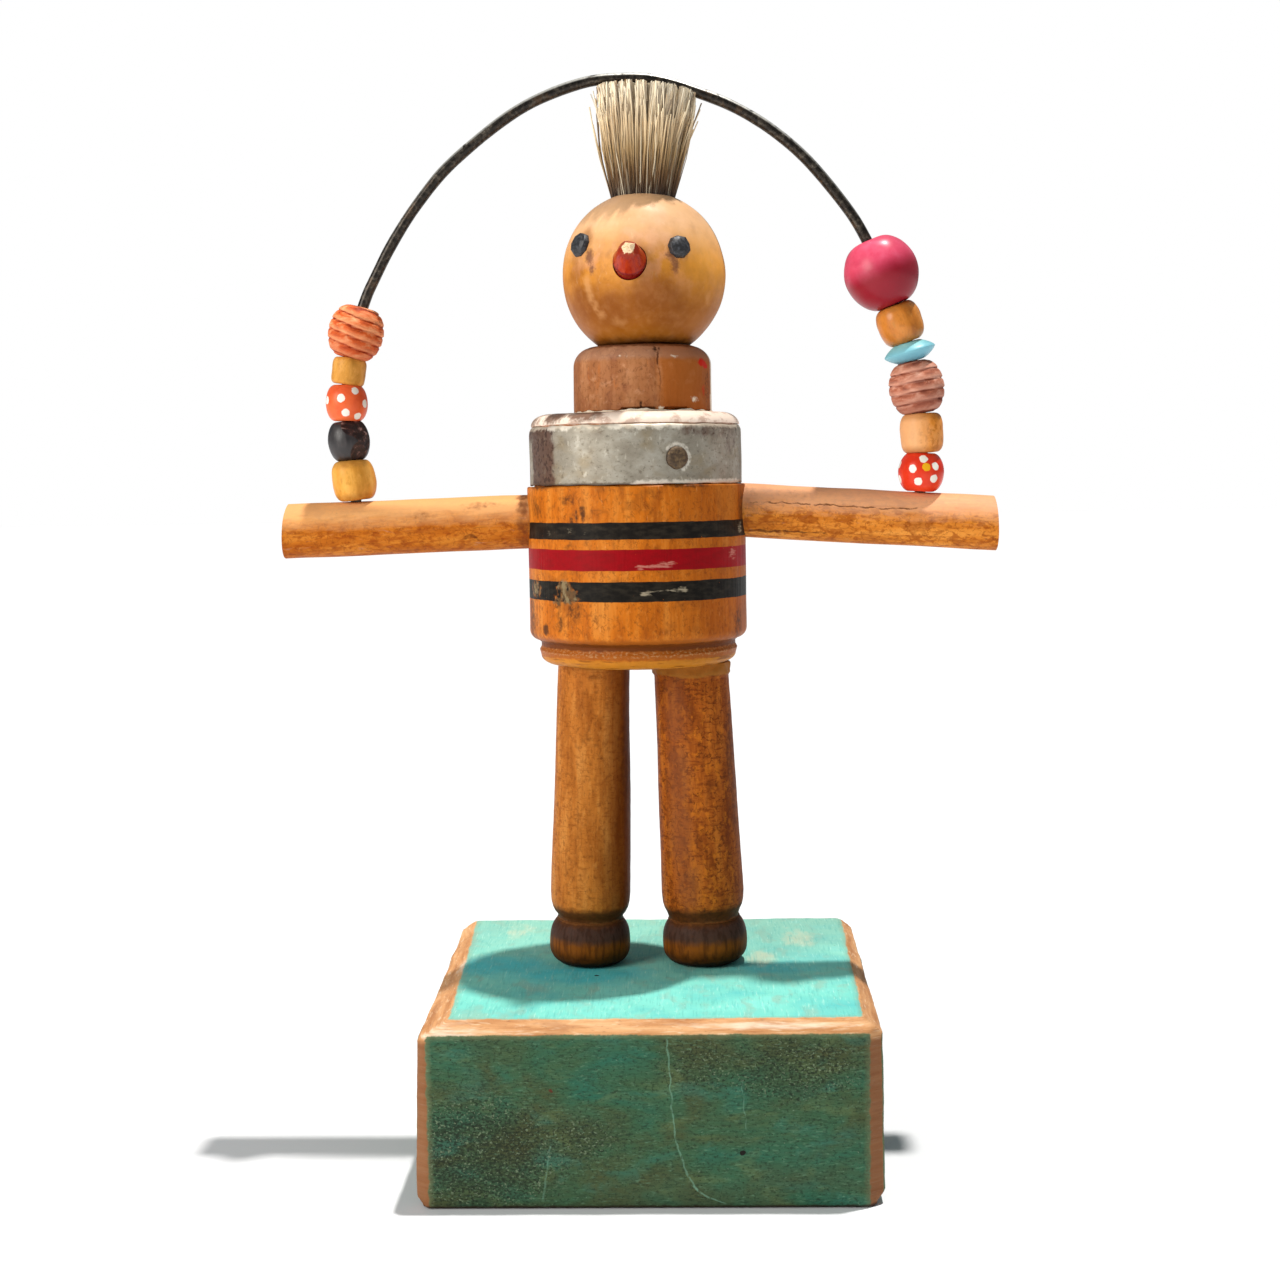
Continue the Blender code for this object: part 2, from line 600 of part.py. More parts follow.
def bead_profile(shape, radius, half):
    """The outer side of a bead, top to bottom."""
    rim = HOLE_RADIUS + BEAD_RIM

    def swell(share):
        """The radius of a full round bead at a share of its half height."""
        return rim + (radius - rim) * math.sqrt(max(0.0, 1 - share**2))

    if shape == "barrel":
        outside = [(rim + 0.9 * MM, half), (0.88 * radius, 0.74 * half), (0.98 * radius, 0.34 * half)]
        return outside + [(r, -z) for r, z in reversed(outside)]
    if shape == "saucer":
        outside = [(rim + 0.6 * MM, half), (0.78 * radius, 0.42 * half), (radius, 0.10 * half)]
        return outside + [(r, -z) for r, z in reversed(outside)]
    if shape == "round":
        count = 8 if radius < 8 * MM else 12
        shares = [math.cos(math.pi * i / count) for i in range(count + 1)]
        return [(swell(share), share * half) for share in shares]
    # Grooved: a round bead with rings cut round it, each a dip between two lands.
    band = 1.4 / BEAD_GROOVES
    profile = [(rim, half), (swell(0.86), 0.86 * half)]
    for i in range(BEAD_GROOVES):
        middle = 0.7 - (i + 0.5) * band
        for offset, depth in ((0.24, 0), (0, BEAD_GROOVE_DEPTH), (-0.24, 0)):
            share = middle + offset * band
            profile.append((swell(share) - depth, share * half))
    return profile + [(r, -z) for r, z in profile[1::-1]]


def beads(dense, run):
    """Threads the beads on the rod, each square to it, from the top of the arm upwards."""
    finishes = {
        "left_barrel_bead": ("tan_wood", 0.4), "left_black_bead": ("black_paint", 0.4),
        "left_dotted_bead": ("orange_paint", 0.3), "left_small_barrel_bead": ("tan_wood", 0.4),
        "left_grooved_bead": ("terracotta", 0.6), "right_dotted_bead": ("red_paint", 0.2),
        "right_barrel_bead": ("tan_wood", 0.4), "right_grooved_bead": ("terracotta", 0.6),
        "right_saucer_bead": ("pale_turquoise", 0.3), "right_oval_bead": ("tan_wood", 0.35),
        "right_pink_ball": ("crimson_paint", 0.3),
    }
    stacks = ((LEFT_BEADS, ARMS["left_arm"], False), (RIGHT_BEADS, ARMS["right_arm"], True))
    for stack, arm, flipped in stacks:
        line = dense[::-1] if flipped else dense
        far = run[-1] - run[::-1] if flipped else run
        x = line[0][0]
        root_x = TORSO_X + arm["side"] * TORSO_RADIUS
        share = (x - root_x) / (arm["end_x"] - root_x)
        arm_top = arm["root_z"] + share * (arm["end_z"] - arm["root_z"]) + arm["end"]
        place = arm_top + GAP - line[0][1]
        for name, shape, wide, tall in stack:
            half = tall * MM / 2
            place += half
            x, z = (np.interp(place, far, line[:, axis]) for axis in (0, 1))
            ahead = [np.interp(place + half, far, line[:, axis]) for axis in (0, 1)]
            behind = [np.interp(place - half, far, line[:, axis]) for axis in (0, 1)]
            way = (ahead[0] - behind[0], 0, ahead[1] - behind[1])
            middle = [(x + 0.5 * (ahead[0] + behind[0])) / 2, (z + 0.5 * (ahead[1] + behind[1])) / 2]
            big = wide > BIG_BEAD
            hole = HOLE_RADIUS + (BIG_BEAD_PLAY if big else 0)
            profile = bead_profile(shape, wide * MM / 2, half)
            profile += [(hole, -half + HOLE_EASE), (hole, half - HOLE_EASE)]
            colour, roughness = finishes[name]
            steps = BEAD_STEPS + 2 * big
            at = along((middle[0], FIGURE_Y, middle[1]), way)
            turned(name, profile, steps, (colour, roughness, 0.0), at, ring=True)
            place += half + GAP


base_block()
legs()
body = torso()
band = metal_band()
band_nail(body, band)
arm_pieces = arms(body)
neck()
face = head()
bristle_tuft(face)
eyes(face)
nose(face)
rod_line, rod_run = wire_hoop(arm_pieces)
beads(rod_line, rod_run)
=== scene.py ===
import math
import random

import bmesh
import bpy
import numpy as np
from mathutils import Matrix, Vector, noise


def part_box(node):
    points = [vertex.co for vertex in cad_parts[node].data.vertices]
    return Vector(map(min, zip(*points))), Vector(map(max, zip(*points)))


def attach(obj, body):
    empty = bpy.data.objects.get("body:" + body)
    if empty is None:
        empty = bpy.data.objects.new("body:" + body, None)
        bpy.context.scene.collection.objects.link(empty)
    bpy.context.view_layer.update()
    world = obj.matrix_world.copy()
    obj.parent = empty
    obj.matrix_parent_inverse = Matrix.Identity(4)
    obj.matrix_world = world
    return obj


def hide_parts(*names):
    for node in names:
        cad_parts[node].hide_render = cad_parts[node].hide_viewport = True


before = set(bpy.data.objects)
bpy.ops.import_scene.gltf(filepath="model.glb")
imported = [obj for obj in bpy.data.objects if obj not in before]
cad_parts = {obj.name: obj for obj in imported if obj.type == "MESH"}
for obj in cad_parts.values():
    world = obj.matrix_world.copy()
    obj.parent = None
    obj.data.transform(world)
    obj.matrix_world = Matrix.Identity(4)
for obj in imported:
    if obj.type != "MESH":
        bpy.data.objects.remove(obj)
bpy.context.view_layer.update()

# A standing figure put together from turned wooden odds and ends on a painted block.
# Every length in the dictionaries is in millimetres and every angle in degrees. Each piece is made in
# a frame of its own, with z as the axis it was turned on, and is put in its place as its last step.
mm = 0.001
figureY = 4  # the plane that the figure's pieces share
weld = 0.002  # points nearer than this are joined
dark, pale, third = 0, 1, 2  # the channels of a piece's marks

cameraView = {"place": (12.8, -490.3, 182.3), "yaw": 1.7, "pitch": 5.08, "roll": 0.9, "lens": 50.625}


def linked(name, data):
    made = bpy.data.objects.new(name, data)
    bpy.context.scene.collection.objects.link(made)
    return made


def makeCamera():
    yaw, pitch, roll = (math.radians(cameraView[turn]) for turn in ("yaw", "pitch", "roll"))
    ahead = Vector((-math.sin(yaw) * math.cos(pitch), math.cos(yaw) * math.cos(pitch), -math.sin(pitch)))
    level = Vector((math.cos(yaw), math.sin(yaw), 0))
    upright = level.cross(ahead)
    right = level * math.cos(roll) - upright * math.sin(roll)
    up = upright * math.cos(roll) + level * math.sin(roll)
    lens = bpy.data.cameras.new("studioCamera")
    lens.lens, lens.sensor_width, lens.clip_start = cameraView["lens"], 36, 0.01
    made = linked("studioCamera", lens)
    made.matrix_world = (
        Matrix.Translation(Vector(cameraView["place"]) * mm)
        @ Matrix((right, up, -ahead)).transposed().to_4x4()
    )
    bpy.context.scene.camera = made


makeCamera()
print("camera placed")


# Colours and nodes. A mask is a node, or a row that makes one: its function and what it is given

smooth = {"interpolation_type": "SMOOTHSTEP", 3: 0}  # a mask that fades in from nought


def linear(hexColour):
    # an sRGB hex colour as the linear one that the nodes want
    channels = [int(hexColour[i:i + 2], 16) / 255 for i in (1, 3, 5)]
    return [c / 12.92 if c <= 0.04045 else ((c + 0.055) / 1.055) ** 2.4 for c in channels] + [1]


def join(tree, source, socket):
    # feeds a socket from an output, or from a node's first output
    tree.links.new(source.outputs[0] if hasattr(source, "outputs") else source, socket)


def addNode(tree, kind, settings, links=()):
    # adds a node: settings name its options and inputs, and links feed its inputs
    node = tree.nodes.new("ShaderNode" + kind)
    for key, value in settings.items():
        if key == "stops":
            first, *middle, last = value
            for element, (place, colour) in zip(node.color_ramp.elements, (first, last)):
                element.position, element.color = place, linear(colour)
            for place, colour in middle:
                node.color_ramp.elements.new(place).color = linear(colour)
        elif key == "curve":
            line = node.mapping.curves[0]
            line.points[0].location, line.points[-1].location = value[0], value[-1]
            for place in value[1:-1]:
                line.points.new(*place)
            node.mapping.update()
        elif isinstance(key, str) and hasattr(node, key):
            setattr(node, key, value)
        else:
            node.inputs[key].default_value = value
    for key, source in dict(links).items():
        join(tree, source, node.inputs[key])
    return node


def read(tree, node, output):
    # an output of the nodes that every finish starts with: own, axes and marks
    return tree.nodes[node].outputs[output]


def maskOf(tree, mask):
    return mask[0](tree, *mask[1:]) if isinstance(mask, tuple) else mask


def threeWay(size):
    # a size for each axis, from one number, from a size across and one along, or from all three
    size = size if isinstance(size, tuple) else (size, size)
    return size if len(size) == 3 else (size[0], *size)


def pattern(tree, size, detail=3, seed=0, warp=0):
    # noise from 0 to 1 whose features are that many mm across
    place = {"Location": (seed, 1.7 * seed, 2.3 * seed), "Scale": [1 / s for s in threeWay(size)]}
    scaled = addNode(tree, "Mapping", place, {"Vector": read(tree, "own", "Vector")})
    settings = {"Scale": 1, "Detail": detail, "Roughness": 0.55, "Distortion": warp}
    return addNode(tree, "TexNoise", settings, {"Vector": scaled})


def patches(tree, size, between, strength=1, detail=3, seed=0, warp=0):
    # irregular patches, where a noise of that size passes from one level to the other
    settings = {**smooth, 1: between[0], 2: between[1], 4: strength}
    return addNode(tree, "MapRange", settings, {0: pattern(tree, size, detail, seed, warp)})


def marked(tree, channel, low, high, strength=1):
    # a soft mark where it passes from one level to the other
    return addNode(tree, "MapRange", {1: low, 2: high, 3: 0, 4: strength}, {0: read(tree, "marks", channel)})


def ragged(tree, channel, size, reach=0.9, strength=1, soft=0.2, level=0.5):
    # a soft mark whose edge is broken up with noise of that size in mm
    noisy = pattern(tree, size, 4, 11)
    pushed = addNode(
        tree, "Math", {"operation": "MULTIPLY_ADD", 1: reach}, {0: noisy, 2: read(tree, "marks", channel)}
    )
    middle = level + 0.5 * reach
    return addNode(tree, "MapRange", {**smooth, 1: middle - soft, 2: middle + soft, 4: strength}, {0: pushed})


def heightBand(tree, low, high, wobble=0.3, soft=0.3, strength=1, size=2):
    # the ring between two heights on a piece, with an unsteady edge
    height = read(tree, "axes", "Z")
    wander = addNode(
        tree, "Math", {"operation": "MULTIPLY_ADD", 1: 4 * wobble}, {0: pattern(tree, size, 3, 7), 2: height}
    )
    offset = addNode(tree, "Math", {"operation": "SUBTRACT", 1: (low + high) / 2 + 2 * wobble}, {0: wander})
    away = addNode(tree, "Math", {"operation": "ABSOLUTE"}, {0: offset})
    half = (high - low) / 2
    settings = {**smooth, 1: half + soft / 2, 2: half - soft / 2, 4: strength}
    return addNode(tree, "MapRange", settings, {0: away})


def lookingUp(tree, low, high, strength=1):
    # the faces that look up, between two slopes
    normal = addNode(tree, "NewGeometry", {}).outputs["Normal"]
    facing = addNode(tree, "SeparateXYZ", {}, {0: normal}).outputs["Z"]
    return addNode(tree, "MapRange", {1: low, 2: high, 3: 0, 4: strength}, {0: facing})


def dot(tree, place, radius, wander, sway=1.3, soft=0.15):
    # one round spot at a place on the piece, its edge pushed about by a noise
    here = read(tree, "own", "Vector")
    away = addNode(tree, "VectorMath", {"operation": "DISTANCE", 1: place}, {0: here}).outputs["Value"]
    uneven = addNode(tree, "Math", {"operation": "MULTIPLY_ADD", 1: sway}, {0: wander, 2: away})
    edge = radius + 0.5 * sway
    return addNode(tree, "MapRange", {1: edge + soft / 2, 2: edge - soft / 2}, {0: uneven})


def scratch(tree, line, width, strength):
    # a thin broken scratch through (x, z) points, on the front of a piece
    sway = 1.6
    left, right = min(x for x, _ in line) - 1, max(x for x, _ in line) + 1
    low, high = min(z for _, z in line), max(z for _, z in line)
    places = sorted(((z - low) / (high - low), (x - left) / (right - left)) for x, z in line)
    climb = addNode(tree, "MapRange", {1: low, 2: high}, {0: read(tree, "axes", "Z")})
    bend = addNode(tree, "FloatCurve", {"curve": places}, {"Value": climb})
    here = addNode(tree, "MapRange", {3: left, 4: right}, {0: bend})
    off = addNode(tree, "Math", {"operation": "SUBTRACT"}, {0: read(tree, "axes", "X"), 1: here})
    noisy = pattern(tree, 2.5, 4, 3)
    swayed = addNode(tree, "Math", {"operation": "MULTIPLY_ADD", 1: sway}, {0: noisy, 2: off})
    centred = addNode(tree, "Math", {"operation": "SUBTRACT", 1: sway / 2}, {0: swayed})
    away = addNode(tree, "Math", {"operation": "ABSOLUTE"}, {0: centred})
    thin = addNode(tree, "MapRange", {1: width, 2: 0.4 * width, 3: 0, 4: strength}, {0: away})
    front = addNode(tree, "MapRange", {1: 0, 2: -1}, {0: read(tree, "axes", "Y")})
    broken = both(tree, thin, (patches, (1.2, 2), (0.3, 0.55), 1, 4, 19))
    return both(tree, broken, (both, front, (heightBand, low, high, 0.3, 1)))


def squiggles(tree, size, thin, strength, seed):
    # fine curly lines, the contours of a noise of that size, broken up
    level = pattern(tree, size, 3, seed, 0.6)
    off = addNode(tree, "Math", {"operation": "SUBTRACT", 1: 0.5}, {0: level})
    away = addNode(tree, "Math", {"operation": "ABSOLUTE"}, {0: off})
    line = addNode(tree, "MapRange", {1: thin, 2: 0.3 * thin}, {0: away})
    return both(tree, line, (patches, 1.2, (0.42, 0.58), strength, 3, seed + 5))


def both(tree, first, second, operation="MULTIPLY"):
    # one mask from two
    links = {0: maskOf(tree, first), 1: maskOf(tree, second)}
    return addNode(tree, "Math", {"operation": operation, "use_clamp": True}, links)


def layered(tree, colour, layers):
    # lays colours over one another, each where its mask says: rows of a colour and a mask's parts
    for over, *mask in layers:
        mask = maskOf(tree, tuple(mask) if callable(mask[0]) else mask[0])
        colour = addNode(tree, "Mix", {"data_type": "RGBA", 7: linear(over)}, {0: mask, 6: colour}).outputs[2]
    return colour


def newMaterial(name, surface):
    # a material with its shader set, and nodes for the piece's own coordinates in mm and its three marks
    material = bpy.data.materials.new(name)
    material.use_nodes = True
    tree = material.node_tree
    for key, value in surface.items():
        tree.nodes["Principled BSDF"].inputs[key].default_value = value
    own = addNode(tree, "Attribute", {"name": "own", "attribute_name": "own"}).outputs["Vector"]
    addNode(tree, "SeparateXYZ", {"name": "axes"}, {0: own})
    stored = addNode(tree, "Attribute", {"attribute_name": "marks"})
    addNode(tree, "SeparateColor", {"name": "marks"}, {0: stored})
    return material, tree


def surfaceOf(material, colour, rough, height, depth):
    # joins the colour, a roughness that varies between two values, and relief of a depth in mm
    tree = material.node_tree
    varied = addNode(tree, "MapRange", {1: 0.3, 2: 0.7, 3: rough[0], 4: rough[1]}, {0: height})
    bump = addNode(tree, "Bump", {"Strength": 1, "Distance": depth * mm}, {"Height": height})
    for source, socket in ((colour, "Base Color"), (varied, "Roughness"), (bump, "Normal")):
        join(tree, source, tree.nodes["Principled BSDF"].inputs[socket])
    return material


def finish(name, surface, noisy, stops, rough, depth, layers=(), tint=None):
    # a material whose relief and colour follow one noise, or its colour another, under layers
    material, tree = newMaterial(name, surface)
    height = pattern(tree, *noisy)
    base = addNode(tree, "ValToRGB", {"stops": stops}, {0: pattern(tree, *tint) if tint else height})
    return surfaceOf(material, layered(tree, base, layers), rough, height, depth)


def grainedWood(tree, look):
    # the colour of an old piece of wood, and its grain: (colour, height). A blotch is (size, levels, tint,
    # strength, seed), a zone (low, high, tint, softness, strength) and a stain (tint, size, strength,
    # softness)
    across, length = look["grain"]

    def run(thick, long):
        return (long, long, thick) if look.get("layered") else (thick, thick, long)

    light, base, deep = look["tones"]
    ink, streaks, crumb = look.get("ink", deep), look["streaks"], look.get("crumb", 0.4)
    streak = pattern(tree, run(across, length), 5)
    low, high = look.get("spread", (0.3, 0.72))
    broad = pattern(tree, run(5 * across, 2 * length), 5, 3, 0.15)
    colour = addNode(tree, "ValToRGB", {"stops": [(low, deep), (0.5, base), (high, light)]}, {0: broad})
    layers = [
        (deep, patches, run(across, length), (0.5, 0.78), streaks, 5),
        (light, patches, run(1.4 * across, 1.3 * length), (0.55, 0.8), 0.5 * streaks, 4, 5),
    ]
    if "ripple" in look:  # the figure of curly wood, bars across the grain
        bar, strength, between = look["ripple"]
        layers.append((deep, patches, run(3.5 * bar, bar), between, strength, 3, 21, 0.6))
    for size, between, tint, strength, seed in look.get("blotches", ()):
        layers.append((tint, patches, size, between, strength, 4, seed, 0.3))
    if "curls" in look:  # crazed varnish
        layers.append((ink, squiggles, *look["curls"], 51))
    layers += [  # fine dirt in the pores and fine wear on the ridges
        (ink, patches, run(1, 1.5), (0.5, 0.72), crumb, 5, 61),
        (light, patches, run(1.2, 1.8), (0.54, 0.74), 0.7 * crumb, 5, 67),
    ]
    # the side tint: on the legs, body and neck it is painted shade down one side, on the head painted light
    # on its right, and on the arms a pale top, partly bleached and partly painted light
    if "side" in look:  # another tint from the left to the right of the piece
        tint, left, right, strength = look["side"]
        sway = math.copysign(look.get("sway", 2), right - left)
        links = {0: pattern(tree, run(1.2, 6), 4, 57), 2: read(tree, "axes", "X")}
        x = addNode(tree, "Math", {"operation": "MULTIPLY_ADD", 1: sway}, links)
        settings = {1: left + sway / 2, 2: right + sway / 2, 3: 0, 4: strength}
        layers.append((tint, addNode(tree, "MapRange", settings, {0: x})))
    for low, high, tint, soft, strength in look.get("zones", ()):
        layers.append((tint, heightBand, low, high, look.get("wobble", 0.3), soft, strength))
    if "drips" in look:
        low, high, size, tint, strength = look["drips"]
        streaky = (patches, size, (0.44, 0.62), strength, 4, 73)
        layers.append((tint, both, streaky, (heightBand, low, high, 0.3, 2)))
    layers += [("#3A1408", scratch, *crack) for crack in look.get("cracks", ())]
    for channel, name in enumerate(("stain", "worn", "residue")):
        if name in look:
            tint, size, strength, soft = look[name]
            layers.append((tint, ragged, channel, size, 1.1, strength, soft))
    return layered(tree, colour, layers), streak


def woodMaterial(name, look):
    surface = {
        "Coat Weight": look.get("coat", 0), "Coat Roughness": 0.3,
        "Specular IOR Level": look.get("gloss", 0.08),
    }
    material, tree = newMaterial(name, surface)
    colour, streak = grainedWood(tree, look)
    return surfaceOf(material, colour, look["rough"], streak, look.get("relief", 0.08))


# Shapes

def arc(centre, radii, start, end, count):
    # points of an ellipse's arc in the (radius, height) plane, between two angles from +radius
    angles = [math.radians(start + (end - start) * i / count) for i in range(count + 1)]
    return [(centre[0] + radii[0] * math.cos(a), centre[1] + radii[1] * math.sin(a)) for a in angles]


def along(start, direction):
    # the matrix that puts local z along a direction, with the local origin at start
    turn = Vector((0, 0, 1)).rotation_difference(Vector(direction).normalized())
    return Matrix.Translation(start) @ turn.to_matrix().to_4x4()


def upright(x):
    return Matrix.Translation((x, figureY, 0))


def around(radius, azimuth, height):
    # the point of a turned piece at an angle from straight ahead towards the right
    a = math.radians(azimuth)
    return Vector((radius * math.sin(a), -radius * math.cos(a), height))


def lumps(x, y, z, size=1):
    return noise.noise(Vector((x, y, z)) / size)


def pushOut(vert, amount):
    # moves a point straight out from the axis
    x, y, _ = vert.co
    vert.co += Vector((x, y, 0)) / math.hypot(x, y) * amount


def turned(profile, steps, finest=1.2, ring=False):
    # a body turned round z from (radius, height) points down its outer side, long runs cut up
    shape = bmesh.new()
    corners = profile + [profile[0]] if ring else profile
    line = [corners[0]]
    for (r0, z0), (r1, z1) in zip(corners, corners[1:]):
        count = max(1, math.ceil(math.hypot(r1 - r0, z1 - z0) / finest))
        line += [(r0 + (r1 - r0) * i / count, z0 + (z1 - z0) * i / count) for i in range(1, count + 1)]
    points = [shape.verts.new((radius, 0, height)) for radius, height in line]
    edges = [shape.edges.new(pair) for pair in zip(points, points[1:])]
    bmesh.ops.spin(
        shape, geom=points + edges, cent=(0, 0, 0), axis=(0, 0, 1), angle=math.tau,
        steps=steps, use_merge=True
    )
    bmesh.ops.remove_doubles(shape, verts=shape.verts, dist=weld)
    bmesh.ops.recalc_face_normals(shape, faces=shape.faces)
    return shape


def drillBit(radius, high, low, steps):
    return turned([(0, high), (radius, high), (radius, low), (0, low)], steps, 30)


def roughened(shape, swells, seed=0):
    # moves the surface in and out by noise, each swell being (size across, size along, depth)
    shape.normal_update()
    shift = Vector((seed, 2.1 * seed, 3.3 * seed))
    moves = []
    for vert in shape.verts:
        x, y, z = vert.co
        amount = sum(
            depth * noise.noise(Vector((x / across, y / across, z / length)) + shift)
            for across, length, depth in swells
        )
        moves.append(vert.normal * amount)
    for vert, move in zip(shape.verts, moves):
        vert.co += move
    return shape


def sliced(shape, point, direction):
    # cuts away everything beyond a plane and closes the cut
    everything = shape.verts[:] + shape.edges[:] + shape.faces[:]
    done = bmesh.ops.bisect_plane(
        shape, geom=everything, plane_co=point, plane_no=Vector(direction).normalized(), clear_outer=True
    )
    rim = [thing for thing in done["geom_cut"] if isinstance(thing, bmesh.types.BMEdge)]
    bmesh.ops.contextual_create(shape, geom=rim)
    return rim


def eased(shape, edges, width, segments=2):
    bmesh.ops.bevel(
        shape, geom=edges, offset=width, offset_type="OFFSET", segments=segments, profile=0.5, affect="EDGES",
        material=-1, clamp_overlap=True,
    )


def meshOf(shape, name="work"):
    mesh = bpy.data.meshes.new(name)
    shape.to_mesh(mesh)
    return mesh


def settled(work, helpers=()):
    # the mesh that an object makes, with the object and its helpers gone
    bpy.context.view_layer.update()
    mesh = bpy.data.meshes.new_from_object(work.evaluated_get(bpy.context.evaluated_depsgraph_get()))
    for thing in (work, *helpers):
        bpy.data.objects.remove(thing)
    return mesh


def bored(shape, drills):
    # cuts the drills, each a bmesh, out of the shape
    work = linked("work", meshOf(shape))
    helpers = [linked("drill", meshOf(drill)) for drill in drills]
    for helper in helpers:
        cut = work.modifiers.new("Cut", "BOOLEAN")
        cut.operation, cut.solver, cut.object = "DIFFERENCE", "EXACT", helper
    shape.clear()
    shape.from_mesh(settled(work, helpers))


def rods(thick, resolution, lines):
    # the mesh of round rods along lines, each a list of points with their share of the thickness
    curve = bpy.data.curves.new("rods", "CURVE")
    curve.dimensions, curve.use_fill_caps = "3D", True
    curve.bevel_depth, curve.bevel_resolution = thick, resolution
    for line in lines:
        spline = curve.splines.new("POLY")
        spline.points.add(len(line) - 1)
        for point, (place, share) in zip(spline.points, line):
            point.co, point.radius = (*place, 1), share
    return settled(linked("rods", curve))


def addPiece(shape, name, place, materials, spots=None, radius=0, crease=40, extra=None):
    # stores the piece's own coordinates and marks, puts it in its place, parents it to the root body and
    # hides the part it replaces. A mark is strongest in the middle of its spots: {channel: [(place, reach,
    # strength)]}, with each place a point, or an angle and a height on the piece's side
    mesh = meshOf(shape, name)
    shape.free()
    count = len(mesh.vertices)
    places = np.empty(count * 3, np.float32)
    mesh.vertices.foreach_get("co", places)
    mesh.attributes.new("own", "FLOAT_VECTOR", "POINT").data.foreach_set("vector", places)
    places = places.reshape(-1, 3)
    marks = np.zeros((count, 4), np.float32)
    for channel, rows in (spots or {}).items():
        for centre, reach, strength in rows:
            centre = around(radius, *centre) if len(centre) == 2 else centre
            away = np.linalg.norm((places - np.array(centre)) / np.array(threeWay(reach)), axis=1)
            marks[:, channel] = np.maximum(marks[:, channel], strength * np.clip(1.6 - 1.6 * away, 0, 1))
    if extra:
        extra(mesh, places, marks)
    mesh.attributes.new("marks", "FLOAT_COLOR", "POINT").data.foreach_set("color", marks.ravel())
    for material in materials:
        mesh.materials.append(material)
    mesh.transform(Matrix.Scale(mm, 4) @ place)
    mesh.shade_smooth()
    mesh.set_sharp_from_angle(angle=math.radians(crease))
    piece = linked(name + "_finished", mesh)
    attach(piece, "root")
    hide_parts(name)
    print(name, len(mesh.polygons), "faces")


# The studio: a pale floor, a small high lamp a little behind the right, and a big soft one at the front left

studio = {
    "floorSize": 8, "floorColour": "#E4E4E6", "room": (0.8, 0.93, 1, 1), "sky": 0.26, "aim": (0, 4, 150),
    "sun": {"way": (0.156, 0.076, 1), "softness": 2.2, "strength": 3.6, "colour": "#FFFDF9"},
    "softbox": {"way": (-100, -80, 50), "distance": 1.1, "size": 0.6, "power": 8.6, "colour": "#FFFBF4"},
}


def placeLamp(light, lamp, distance):
    way = Vector(lamp["way"]).normalized()
    light.color = linear(lamp["colour"])[:3]
    made = linked(light.name, light)
    made.location = Vector(studio["aim"]) * mm + way * distance
    made.rotation_euler = way.to_track_quat("Z", "Y").to_euler()


def makeStudio():
    world = bpy.data.worlds.new("studioWorld")
    bpy.context.scene.world = world
    world.use_nodes = True
    tree = world.node_tree
    room = tree.nodes["Background"]
    room.inputs["Color"].default_value, room.inputs["Strength"].default_value = studio["room"], studio["sky"]
    sheet = addNode(tree, "Background", {"Color": (1, 1, 1, 1), "Strength": 1})
    seen = addNode(tree, "LightPath", {}).outputs["Is Camera Ray"]
    mixed = addNode(tree, "MixShader", {}, {0: seen, 1: room, 2: sheet})
    join(tree, mixed, tree.nodes["World Output"].inputs["Surface"])
    sun, box = bpy.data.lights.new("highLamp", "SUN"), bpy.data.lights.new("softbox", "AREA")
    sun.angle, sun.energy = math.radians(studio["sun"]["softness"]), studio["sun"]["strength"]
    placeLamp(sun, studio["sun"], 1)
    box.shape, box.size, box.energy = "DISK", studio["softbox"]["size"], studio["softbox"]["power"]
    placeLamp(box, studio["softbox"], studio["softbox"]["distance"])
    shape = bmesh.new()
    bmesh.ops.create_grid(shape, x_segments=8, y_segments=8, size=studio["floorSize"])
    mesh = meshOf(shape, "studioFloor")
    # plain matt backdrop paper, a very pale cool grey without a shine
    paper = bpy.data.materials.new("matteBackdropPaper")
    paper.use_nodes = True
    look = {"Base Color": linear(studio["floorColour"]), "Roughness": 0.95, "Specular IOR Level": 0}
    for key, value in look.items():
        paper.node_tree.nodes["Principled BSDF"].inputs[key].default_value = value
    mesh.materials.append(paper)
    linked("studioFloor", mesh)
    bpy.context.scene.view_settings.view_transform = "Standard"


makeStudio()
print("studio ready")


# The painted block: a sawn offcut whose edges were planed off by hand

